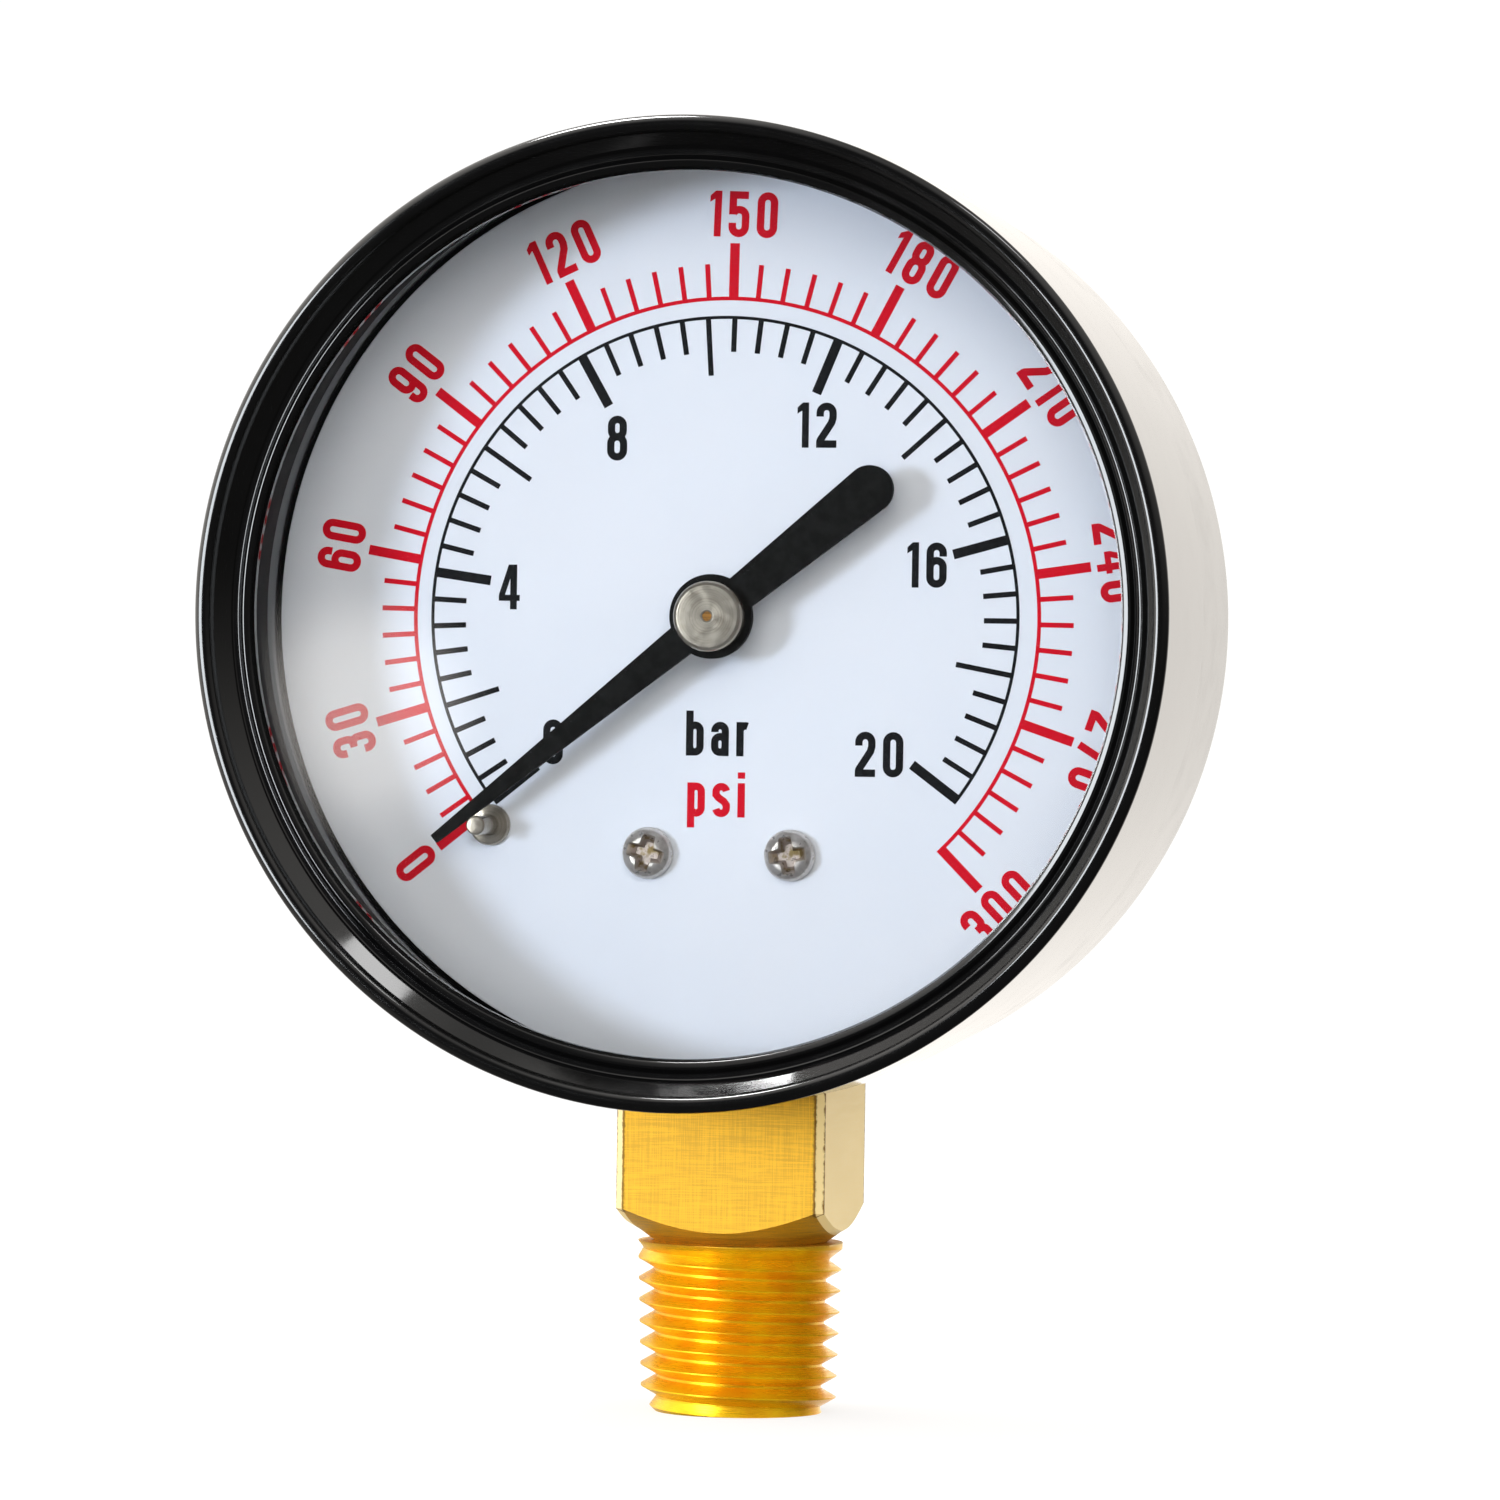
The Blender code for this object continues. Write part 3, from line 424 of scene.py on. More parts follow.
def rolled_metal(name, colour, dark, roughness=0.3, along="x"):
    """Sheet metal with straight rolling lines and a little tarnish."""
    look = Look(name, colour, 1.0, roughness)
    stretch = {"x": (0.35, 9.0, 9.0), "y": (9.0, 0.35, 9.0), "z": (9.0, 9.0, 0.35)}[along]
    lines = look.noise(1.0, 4.0, 0.6, look.stretched(*stretch))
    look.colour(look.blend(look.range(look.noise(0.45, 4.0), 0.35, 0.75), colour, dark))
    look.roughness(look.range(lines, 0.25, 0.75, roughness - 0.08, roughness + 0.12))
    look.bump(lines, 0.0018)
    return look.material


def rubber():
    look = Look("moulded_rubber", (0.009, 0.009, 0.009), 0.0, 0.8, Specular_IOR_Level=0.15)
    bloom = look.noise(0.5, 4.0)
    look.colour(look.blend(look.range(bloom, 0.4, 0.8), (0.016, 0.016, 0.015), (0.04, 0.039, 0.036)))
    look.roughness(look.range(bloom, 0.3, 0.7, 0.65, 0.85))
    look.bump(look.noise(5.0, 4.0), 0.012)
    return look.material


def dial_paint():
    """White stoved paint on the dial: nearly even, a little cooler in places."""
    look = Look("dial_white", (0.85, 0.87, 0.89), 0.0, 0.42, Specular_IOR_Level=0.3)
    cooler = look.range(look.noise(0.06, 2.0), 0.35, 0.7)
    look.colour(look.blend(cooler, (0.85, 0.87, 0.89), (0.83, 0.86, 0.89)))
    look.roughness(look.range(look.noise(0.5, 3.0), 0.3, 0.7, 0.38, 0.5))
    look.bump(look.noise(4.0, 3.0), 0.0004)
    return look.material


def ink(name, colour, thin):
    """Screen-printed ink: a slightly uneven film."""
    look = Look(name, colour, 0.0, 0.6, Specular_IOR_Level=0.12)
    look.colour(look.blend(look.range(look.noise(3.0, 4.0), 0.45, 0.85), colour, thin))
    look.roughness(look.range(look.noise(2.0, 3.0), 0.3, 0.7, 0.55, 0.7))
    look.bump(look.noise(9.0, 3.0), 0.001)
    return look.material


def pointer_paint():
    look = Look("pointer_black", (0.003, 0.003, 0.003), 0.0, 0.8, Specular_IOR_Level=0.2)
    look.colour(look.blend(look.noise(2.0, 3.0), (0.002, 0.002, 0.002), (0.006, 0.006, 0.005)))
    look.roughness(look.range(look.noise(1.5, 3.0), 0.3, 0.7, 0.7, 0.9))
    look.bump(look.noise(9.0, 3.0), 0.004)
    return look.material


def clear_window():
    """Clear sheet that shows what is behind it and mirrors the lights at its surface.

    Light passes it without bending, so its inner side mirrors everything from about 42 degrees off its normal.
    """
    look = Look("window_clear", (1, 1, 1), 0.0, 0.02)
    fresnel = look.add("ShaderNodeFresnel", {"IOR": 1.49})
    through = look.add("ShaderNodeBsdfTransparent", {"Color": (0.985, 0.99, 0.99, 1)})
    smear = look.range(look.noise(0.12, 4.0), 0.35, 0.8, 0.015, 0.06)
    mirror = look.add("ShaderNodeBsdfGlossy", {"Color": (1, 1, 1, 1), "Roughness": smear})
    shares = {0: fresnel.outputs[0], 1: through.outputs[0], 2: mirror.outputs[0]}
    mix = look.add("ShaderNodeMixShader", shares)
    look.tree.nodes.remove(look.surface)
    look.tree.links.new(mix.outputs[0], look.tree.nodes["Material Output"].inputs["Surface"])
    return look.material


def stem_brass():
    """Bright brass: a turned thread, and a milled square with crossed cutter marks."""
    yellow, deep, pale = (0.9, 0.53, 0.005), (0.84, 0.4, 0.004), (0.74, 0.4, 0.026)
    look = Look("stem_brass", yellow, 0.65, 0.25)
    radius, height, turn = look.round_axis(upright=True)
    square = look.range(height, THREAD_LENGTH - 0.3, THREAD_LENGTH + 0.1)
    fine = (look.math("MULTIPLY", part, 6.0) for part in (radius, height))
    lathe = look.noise(1.0, 3.0, 0.65, look.point(*fine, turn))
    across = look.noise(1.0, 3.0, 0.6, look.stretched(0.5, 0.5, 13.0))
    upright = look.noise(1.0, 3.0, 0.6, look.stretched(12.0, 12.0, 0.25))
    weave = look.math("MULTIPLY", look.math("ADD", across, upright), 0.5)
    stain = look.noise(0.5, 4.0)
    thread_colour = look.blend(look.range(stain, 0.35, 0.7), yellow, deep)
    square_colour = look.blend(look.range(weave, 0.4, 0.6), tuple(0.68 * c for c in pale), pale)
    x, y = look.axes()[:2]
    inward = look.math("MINIMUM", look.math("ABSOLUTE", x), look.math("ABSOLUTE", y))
    ragged = look.math("MULTIPLY", look.noise(3.0, 4.0), 0.3)
    off_edge = look.math("ABSOLUTE", look.math("SUBTRACT", inward, SQUARE / 2 - SQUARE_CORNER - 0.03))
    edge = look.range(look.math("ADD", off_edge, ragged), 0.29, 0.17)
    # Painted highlight: the two side flats get a paler, less metallic tint than the front and rear ones,
    # standing in for the light that washes them out
    off_middle = look.math("ABSOLUTE", x)
    side_face = look.range(off_middle, SQUARE / 2 - 0.54, SQUARE / 2 - 0.5)
    painted_side_highlight = look.math("MULTIPLY", side_face, square)
    square_colour = look.blend(painted_side_highlight, square_colour, (1.0, 0.79, 0.37))
    square_colour = look.blend(edge, square_colour, (0.22, 0.11, 0.01))
    look.colour(look.blend(square, thread_colour, square_colour))
    # The painted highlight on the side flats also lowers their metallic
    look.tree.links.new(look.range(painted_side_highlight, 0.0, 1.0, 0.65, 0.3), look.surface.inputs["Metallic"])
    thread_gloss = look.range(lathe, 0.3, 0.7, 0.24, 0.38)
    square_gloss = look.range(weave, 0.35, 0.65, 0.42, 0.58)
    gloss = look.add("ShaderNodeMix", {0: square, 2: thread_gloss, 3: square_gloss})
    look.roughness(gloss.outputs[0])
    relief = look.add("ShaderNodeMix", {0: square, 2: lathe, 3: weave})
    look.bump(relief.outputs[0], 0.006)
    look.bump(look.noise(5.0, 3.0), 0.0015)
    return look.material


# ---------------------------------------------------------------------------------- figures and letters

HALF_STROKE = 0.083
HALF_WIDTH = 0.146  # of a figure's middle line
LETTER_HALF = 0.118
TOP, BOTTOM = 1 - HALF_STROKE, HALF_STROKE


def strip(path, half, closed=False):
    """Quads along a path, half to each side, mitred at its corners."""
    points = [Vector(point) for point in path]
    points = [p for i, p in enumerate(points) if i == 0 or (p - points[i - 1]).length > 1e-6]
    if closed and (points[0] - points[-1]).length < 1e-6:
        points.pop()
    count = len(points)
    sides = []
    for i, here in enumerate(points):
        before = points[i - 1] if closed or i else None
        after = points[(i + 1) % count] if closed or i + 1 < count else None
        ways = [(b - a).normalized() for a, b in ((before, here), (here, after)) if a and b]
        normals = [Vector((-way.y, way.x)) for way in ways]
        mean = sum(normals, Vector((0, 0))).normalized()
        reach = half / max(0.5, mean.dot(normals[0]))
        sides.append((here + mean * reach, here - mean * reach))
    runs = zip(sides, sides[1:] + sides[:1]) if closed else zip(sides, sides[1:])
    return [[tuple(a[0]), tuple(a[1]), tuple(b[1]), tuple(b[0])] for a, b in runs]


def bow(height, start, end, half=HALF_WIDTH, x=0.0):
    """A round turn of a figure about (x, height)."""
    return arc(half, start, end, 10, (x, height))


def ring(top, bottom, half=HALF_WIDTH):
    """A closed loop with round ends, between the heights of its middle line."""
    return strip(bow(top - half, -90, 90, half) + bow(bottom + half, 90, 270, half), HALF_STROKE, closed=True)


def line(*points):
    return strip(points, HALF_STROKE)


def glyph(mark):
    """Outlines of a figure or letter one unit tall, standing on 0."""
    w, l, s = HALF_WIDTH, LETTER_HALF, HALF_STROKE
    upper, lower = TOP - w, BOTTOM + w
    small_top = 0.76 - s
    if mark == "0":
        return ring(TOP, BOTTOM)
    if mark == "1":
        return [[(0.11, 0), (0.11, 1), (-0.03, 1), (-0.15, 0.89), (-0.15, 0.75), (-0.044, 0.82), (-0.044, 0)]]
    if mark == "2":
        foot = [(w, 0.67), (w - 0.03, 0.56), (-w + 0.01, 0.17), (-w, 0.05)]
        bowl = [(-w, 0.69)] + bow(upper, -90, 90) + foot
        return strip(bowl, s) + line((-w - s, BOTTOM), (w + s, BOTTOM))
    if mark == "3":
        tight = 0.11
        waist = bow(0.53 + tight, 90, 180, tight, w - tight)
        high = [(-w, 0.71)] + bow(upper, -90, 90) + [(w, 0.53 + tight)] + waist
        low = bow(0.51 - tight, 0, 90, tight, w - tight) + bow(lower, 90, 270) + [(-w, 0.29)]
        return strip(high, s) + strip(low, s) + line((-0.05, 0.52), (w - tight + 0.01, 0.52))
    if mark == "4":
        stem = [(0.02, 0), (0.174, 0), (0.174, 1), (0.02, 1)]
        bar = [(-0.24, 0.19), (0.24, 0.19), (0.24, 0.325), (-0.24, 0.325)]
        slope = [
            (0.02, 1), (-0.02, 1), (-0.24, 0.325), (-0.24, 0.22),
            (-0.1, 0.22), (-0.1, 0.325), (0.03, 0.72),
        ]
        return [stem, bar, slope]
    if mark == "5":
        bowl = bow(0.6 - w, -62, 90) + bow(lower, 90, 270) + [(-w, 0.31)]
        return line((w + 0.05, TOP), (-w, TOP), (-w, 0.49)) + strip(bowl, s)
    if mark in ("6", "9"):
        hook = [(-w, lower)] + bow(upper, -90, 90) + [(w, 0.69)]
        outlines = ring(0.6, BOTTOM) + strip(hook, s)
        return [[(-x, 1 - z) for x, z in outline] for outline in outlines] if mark == "9" else outlines
    if mark == "7":
        return strip([(-w - s, TOP), (w, TOP), (w, 0.82), (-0.05, 0)], s)
    if mark == "8":
        return ring(TOP, 0.53, w - 0.012) + ring(0.53, BOTTOM)
    if mark in ("b", "p"):
        stem = line((-l, 0), (-l, 1)) if mark == "b" else line((-l, -0.24), (-l, 0.76))
        return stem + ring(small_top, BOTTOM, l)
    if mark == "a":
        hook = [(-l, 0.53)] + bow(small_top - l, -90, 90, l) + [(l, 0)]
        return strip(hook, s) + ring(0.43, BOTTOM, l)
    if mark == "r":
        return line((-l, 0), (-l, 0.76)) + strip(bow(small_top - l, -90, 25, l), s)
    if mark == "s":
        high = bow(small_top - l, 80, -90, l)
        low = bow(BOTTOM + l, 90, 260, l)
        return strip(high + [(-l, 0.5), (-0.06, 0.43), (0.06, 0.35), (l, 0.27)] + low, s)
    stem_i = line((0, 0), (0, 0.76))
    dot = [(-s, 0.86), (s, 0.86), (s, 1), (-s, 1)]
    return stem_i + [dot]


def written(text, height, centre, clock=0.0):
    """Outlines of a word, centred and turned clockwise."""
    outlines, pen = [], 0.0
    for mark in text:
        shapes = glyph(mark)
        left = min(x for shape in shapes for x, z in shape)
        right = max(x for shape in shapes for x, z in shape)
        outlines += [[(x - left + pen, z) for x, z in shape] for shape in shapes]
        pen += right - left + LETTER_GAP
    middle_x = (pen - LETTER_GAP) / 2
    heights = [z for shape in outlines for x, z in shape]
    middle_z = (min(heights) + max(heights)) / 2
    cos, sin = math.cos(math.radians(clock)), math.sin(math.radians(clock))

    def put(x, z):
        x, z = (x - middle_x) * height, (z - middle_z) * height
        return centre[0] + x * cos + z * sin, centre[1] - x * sin + z * cos

    return [[put(x, z) for x, z in outline] for outline in outlines]


def tick(clock, start, end, width):
    """A radial mark between two radii."""
    out, side = Vector(polar(1, clock)), Vector(polar(width / 2, clock + 90))
    corners = (out * start - side, out * end - side, out * end + side, out * start + side)
    return [tuple(corner) for corner in corners]


def print_psi():
    last = PSI_START + PSI_STEP * PSI_DIVISIONS
    outlines = strip(arc(PSI_ARC, SCALE_ZERO, last, ARC_STEPS), 0.125)
    outlines.append(tick(SCALE_ZERO, PSI_ARC, *PSI_LONG))
    for i in range(2, PSI_DIVISIONS + 1):
        end, width = PSI_LONG if i % 6 == 0 else PSI_SHORT
        outlines.append(tick(PSI_START + PSI_STEP * i, PSI_ARC - 0.12, end, width))
    clocks = (-128.5, -107.1, -80.2, -53.0, -25.0, 1.9, 29.0, 55.1, 81.3, 108.9, 135.3)
    for i, clock in enumerate(clocks):
        turn = clock if clock < 135 else clock + 180
        outlines += written(str(30 * i), RED_HEIGHT, polar(LABEL_RADIUS, clock), turn)
    across, up = PSI_SHIFT
    outlines = [[(x + across, z + up) for x, z in outline] for outline in outlines]
    return outlines + written("psi", BLACK_HEIGHT, (-0.3, -11.96))


def print_bar():
    last = BAR_START + BAR_STEP * BAR_DIVISIONS
    outlines = strip(arc(BAR_ARC, SCALE_ZERO, last, ARC_STEPS), 0.105)
    outlines.append(tick(SCALE_ZERO, BAR_ARC, *BAR_LONG))
    for i in range(2, BAR_DIVISIONS + 1):
        end, width = BAR_LONG if i % 10 == 0 else BAR_MIDDLE if i % 5 == 0 else BAR_SHORT
        outlines.append(tick(BAR_START + BAR_STEP * i, BAR_ARC + 0.1, end, width))
    places = ((14.06, -126.3), (14.55, -82.8), (13.75, -32.0), (14.0, 25.8), (14.0, 75.3), (13.75, 129.9))
    for i, place in enumerate(places):
        outlines += written(str(4 * i), BLACK_HEIGHT, polar(*place))
    return outlines + written("bar", BLACK_HEIGHT, (-0.27, -7.61))


# ------------------------------------------------------------------------------------ case and window


def build_bezel(material):
    low, high = box_of("bezel")
    outer, front, rear = high.x, low.y, high.y
    inner, lip = outer - 0.55, outer - 3.4
    corners = [
        (inner, rear, 0.12),
        (outer, rear, 0.16),
        (outer, front, 0.6),
        (outer - 1.04, front + 0.02, 0.42),
        (lip + 2.33, front + 0.98, 0.12),
        (lip + 1.3, front + 2.1, 0.22),
        (lip + 0.95, front + 2.12, 0.16),
        (lip + 0.6, front + 1.76, 0.2),
        (lip + 0.18, front + 1.88, 0.2),
        (lip, front + 2.4, 0.15),
        (lip, front + 3.0, 0.1),
        (lip + 2.2, front + 3.0, 0.2),
        (inner, front + 1.95, 0.3),
    ]
    bm = turned(rounded(corners, closed=True, steps=8), ring=True)
    piece("bezel_ring", bm, material, "gauge", ["bezel"], smooth=50)


def box_outline(left, right, low, high, radius):
    """The outline of a rectangle with rounded corners, from its left low corner."""
    corners = [(left, low, radius), (right, low, radius), (right, high, radius), (left, high, radius)]
    return rounded(corners, closed=True)


def drilled(node, radius, depth):
    """The cutter of a round hole through the case's back, where a CAD node sits."""
    x, z = middle_of(node)
    hole = [(0, depth - 2), (radius, depth - 2), (radius, depth + 1), (0, depth + 1)]
    return "DIFFERENCE", moved(turned(hole, SMALL if radius < 2 else MEDIUM), x, 0, z)


def build_case(material, seam_shade_rubber):
    """The drawn shell, with a shallow groove round it that holds a dark rubber ring: painted shade that makes
    the groove read as a dark line.
    """
    low, high = box_of("case")
    radius, front, rear = high.x, low.y, high.y
    wall, corner = 0.85, 2.5
    corners = [
        (0, rear, 0),
        (radius, rear, corner),
        (radius, SEAM + 0.2, 0.0),
        (radius - 0.16, SEAM + 0.19, 0.0),
        (radius - 0.16, SEAM - 0.2, 0.0),
        (radius, SEAM - 0.3, 0.0),
        (radius, front, 0.15),
        (radius - wall, front, 0.15),
        (radius - wall, rear - wall, corner - wall),
        (0, rear - wall, 0),
    ]
    body = turned(rounded(corners, steps=16))
    half = SQUARE / 2 + 0.3
    stem_y = (STEM_END.y - CENTRE.y) / MM
    opening = box_outline(-half, half, stem_y - half, stem_y + half, 0.8)
    steps = [("DIFFERENCE", loft([[(x, y, z) for x, y in opening] for z in (-34, -28.6)]))]
    steps += [drilled(f"case_screw_{side}", 1.7, rear) for side in ("left", "right")]
    steps.append(drilled("blow_out_plug", 5, rear))
    piece("case_shell", joined(body, steps), material, "gauge", ["case"], smooth=40)
    # Painted shade: a dark rubber ring laid in the groove, so that the line round the case shows dark
    inner, outer, half_bead = radius - 0.14, radius - 0.03, 0.14
    start, end = SEAM - half_bead, SEAM + half_bead
    bead = [(inner, start), (outer, start), (outer, end), (inner, end)]
    piece("seam_shade_ring", turned(bead, ring=True), seam_shade_rubber, "gauge", smooth=40)


def build_plug(material):
    low, high = box_of("blow_out_plug")
    x, z = middle_of("blow_out_plug")
    flange, front, rear = (high.x - low.x) / 2, low.y, high.y
    neck = flange - 1.2
    corners = [
        (0, rear - 0.25, 0),
        (flange - 2.4, rear - 0.25, 0.3),
        (flange - 2.0, rear, 0.3),
        (flange, rear, 0.4),
        (flange, rear - 0.75, 0.1),
        (neck, rear - 0.75, 0.15),
        (neck, front + 1.05, 0.15),
        (neck + 0.8, front + 1.05, 0.15),
        (neck, front, 0.3),
        (0, front, 0),
    ]
    bm = moved(turned(rounded(corners), MEDIUM), x, 0, z)
    piece("vent_plug", bm, material, "gauge", ["blow_out_plug"])


def build_window(clear, rubber_look):
    low, high = box_of("window")
    radius, front, rear = high.x, low.y, high.y
    corners = [(0, front, 0), (radius, front, 0.3), (radius, rear, 0.15), (0, rear, 0)]
    piece("window_pane", turned(rounded(corners, steps=4)), clear, "gauge", ["window"])
    low, high = box_of("window_gasket")
    outer, inner, under = high.x, high.x - 1.25, low.y + 0.8
    corners = [
        (inner, low.y, 0.15),
        (outer, low.y, 0.2),
        (outer, under, 0.2),
        (inner + 0.4, under, 0.1),
        (inner + 0.4, high.y, 0.12),
        (inner, high.y, 0.12),
    ]
    bm = turned(rounded(corners, closed=True, steps=4), ring=True)
    piece("window_seal", bm, rubber_look, "gauge", ["window_gasket"])


# ------------------------------------------------------------------------------------ dial and pointer


def build_dial(white, red, black):
    low, high = box_of("dial")
    holes = [arc(1.8, 0, 360, SMALL)[:-1], arc(0.75, 0, 360, SMALL, middle_of("stop_pin"))[:-1]]
    holes += [arc(1.25, 0, 360, SMALL, middle_of(f"dial_screw_{side}"))[:-1] for side in ("left", "right")]
    bm = sheet([arc(high.x, 0, 360, FINE)[:-1]], low.y, high.y, holes)
    piece("dial_plate", bm, white, "gauge", ["dial"], bevel=0.08)
    piece("dial_print_psi", sheet(print_psi(), PRINT_FRONT, PRINT_REAR), red, "gauge")
    piece("dial_print_bar", sheet(print_bar(), PRINT_FRONT, PRINT_REAR), black, "gauge")


def cross_recess(reach, half, depth, floor_share):
    """The cutter of a cross recess whose mouth is at y = 0, tapering to a floor at the depth given."""
    quarter = [(half, reach, 0.12), (half * 1.15, half * 1.15, 0.18), (reach, half, 0.12)]
    corners = []
    for index, (sx, sz) in enumerate([(1, 1), (1, -1), (-1, -1), (-1, 1)]):
        row = quarter if index % 2 == 0 else quarter[::-1]
        corners += [(sx * x, sz * z, radius) for x, z, radius in row]
    outline = rounded(corners, closed=True, steps=4)
    sections = [(-1.0, 1.1), (0.0, 1.0), (0.35 * depth, 0.86), (depth, floor_share)]
    return loft([[(x * share, y, z * share) for x, z in outline] for y, share in sections])


def screw_body(head, height, shank, length, thread_pitch=0.45):
    """A pan-head screw with its seat at y = 0 and its head to the front."""
    corners = [
        (0, -height, 0),
        (0.62 * head, -height, 0.5),
        (0.92 * head, -0.72 * height, 0.35),
        (head, -0.25 * height, 0.15),
        (0.97 * head, 0, 0.06),
        (shank, 0, 0.08),
    ]
    profile = rounded(corners)[:-1]
    ridges = int((length - 0.3) / thread_pitch)
    for ridge in range(ridges):
        start = 0.2 + ridge * thread_pitch
        crest, fall = start + 0.4 * thread_pitch, start + 0.55 * thread_pitch
        profile += [(0.82 * shank, start), (shank, crest), (shank, fall)]
    profile += [(0.82 * shank, 0.2 + ridges * thread_pitch), (0.7 * shank, length), (0, length)]
    return turned(profile, SMALL)


def build_dial_screws(material):
    for side, clock in (("left", 14.0), ("right", -8.0)):
        low, high = box_of(f"dial_screw_{side}")
        x, z = middle_of(f"dial_screw_{side}")
        head, height, seat = (high.x - low.x) / 2, 1.2, low.y + 1.2
        body = screw_body(head, height, 1.0, high.y - seat)
        recess = moved(cross_recess(0.78 * head, 0.25 * head, 0.85, 0.55), 0, -height, 0)
        bm = joined(body, [("DIFFERENCE", recess)])
        piece(f"dial_screw_head_{side}", moved(bm, 0, seat, 0, clock), material, "gauge",
              [f"dial_screw_{side}"], at=CENTRE + Vector((x, 0, z)) * MM, smooth=28)


def build_stop_pin(material):
    low, high = box_of("stop_pin")
    x, z = middle_of("stop_pin")
    collar, pin = (high.x - low.x) / 2, 0.63
    corners = [
        (0, low.y, 0),
        (pin, low.y, 0.14),
        (pin, -0.62, 0.1),
        (collar - 0.12, -0.55, 0.12),
        (collar, -0.35, 0.08),
        (collar, -0.05, 0.04),
        (0.6, -0.05, 0.0),
        (0.6, 0.6, 0.0),
        (1.1, 0.6, 0.1),
        (0.8, high.y, 0.2),
        (0, high.y, 0),
    ]
    bm = turned(rounded(corners), SMALL)
    piece("pointer_stop", bm, material, "gauge", ["stop_pin"], at=CENTRE + Vector((x, 0, z)) * MM)


def build_pointer(black, nickel, brass):
    low, high = box_of("pointer")
    disc, root, tip, tail_root = 2.75, 2.1 / 2, 0.6 / 2, 2.3 / 2
    length, tail_centre, tail_radius = 23.6, 13.33, 1.56
    rest = -128.8
    blade_clock = math.degrees(math.asin(root / disc))
    tail_clock = 180 - math.degrees(math.asin(tail_root / disc))
    right = [(tip, length)] + arc(disc, blade_clock, tail_clock, 40)
    right += arc(tail_radius, 92, 180, 24, (0, -tail_centre))
    outline = right + [(-x, z) for x, z in reversed(right[:-1])]
    bm = sheet([outline], low.y, high.y, [arc(1.47, 0, 360, SMALL)[:-1]])
    piece("pointer_blade", bm, black, "pointer_body", ["pointer"], clock=rest, bevel=0.07)

    low, high = box_of("pointer_hub")
    radius, front, rear = high.x, low.y, -3.85
    corners = [
        (0.31, front + 0.09, 0.0),
        (0.31, front + 0.05, 0.02),
        (0.42, front, 0.04),
        (radius - 0.28, front, 0.1),
        (radius - 0.1, front + 0.12, 0.1),
        (radius, front + 0.3, 0.1),
        (radius, rear, 0.06),
        (1.4, rear, 0.0),
        (1.4, high.y - 0.3, 0.1),
        (1.0, high.y, 0.1),
        (0.65, high.y, 0.0),
        (0.65, front + 0.9, 0.0),
        (0.55, front + 0.09, 0.0),
    ]
    bm = turned(rounded(corners, closed=True), MEDIUM, ring=True)
    piece("pointer_cap", bm, nickel, "pointer_body", ["pointer_hub"], smooth=28)


# ------------------------------------------------------------------------------------------------ stem


def thread_body():
    """The taper thread as one closed body, with a sharp profile and a chamfered start."""
    columns = 120
    share_heights = [(0.0, 0.0), (0.06, 0.0), (0.47, 1.0), (0.53, 1.0), (0.94, 0.0)]
    per_pitch = len(share_heights)
    rows = int(per_pitch * (THREAD_LENGTH / THREAD_PITCH + 3))

    def radius_at(height, share):
        crest = THREAD_END_RADIUS + THREAD_TAPER * height
        root = crest - THREAD_DEPTH
        chamfer = THREAD_END_RADIUS - THREAD_CHAMFER + height
        runout = root + THREAD_DEPTH * max(0.0, 1 - (THREAD_LENGTH - height) / THREAD_PITCH)
        return min(chamfer, max(root + THREAD_DEPTH * share, runout))

    def share_at(turn):
        part = turn % 1.0
        table = share_heights + [(1.0, 0.0)]
        for (a, low), (b, high) in zip(table, table[1:]):
            if a <= part <= b:
                return low + (high - low) * (part - a) / (b - a)
        return 0.0

    bm = bmesh.new()
    grid = []
    for row in range(rows + 1):
        line_of_row = []
        for column in range(columns):
            along = column / columns
            whole = row // per_pitch - 2 + share_heights[row % per_pitch][0]
            height = min(max((whole + along) * THREAD_PITCH, 0.0), THREAD_LENGTH)
            radius = radius_at(height, share_at(height / THREAD_PITCH - along))
            x, y = polar(radius, 360 * along)
            line_of_row.append(bm.verts.new((x, y, height)))
        grid.append(line_of_row)
    for row in range(rows - per_pitch):
        for column in range(columns):
            if column + 1 < columns:
                near, far = grid[row][column + 1], grid[row + 1][column + 1]
            else:
                near, far = grid[row + per_pitch][0], grid[row + per_pitch + 1][0]
            bm.faces.new((grid[row][column], near, far, grid[row + 1][column]))
    bmesh.ops.remove_doubles(bm, verts=bm.verts, dist=1e-4)
    bmesh.ops.delete(bm, geom=[v for v in bm.verts if not v.link_faces], context="VERTS")
    bmesh.ops.holes_fill(bm, edges=[e for e in bm.edges if e.is_boundary], sides=0)
    return bm


def square_body(top):
    """The wrench square with broken corners, ending below in a cone."""
    half = SQUARE / 2
    inner = half - SQUARE_CORNER
    cut_corner = []
    for x, y in ((half, half), (half, -half), (-half, -half), (-half, half)):
        pair = [(math.copysign(inner, x), y), (x, math.copysign(inner, y))]
        cut_corner += pair if x * y > 0 else pair[::-1]
    low = SQUARE_START - half * CONE_SLOPE
    square = loft([[(x, y, z) for x, y in cut_corner] for z in (low, top)])
    envelope = [(0, low - 1), (half - 0.3, SQUARE_START - 0.3 * CONE_SLOPE)]
    envelope += [(SQUARE, SQUARE_START + (SQUARE - half) * CONE_SLOPE), (SQUARE, top + 3), (0, top + 3)]
    return joined(square, [("INTERSECT", turned(envelope, FINE, upright=True))])


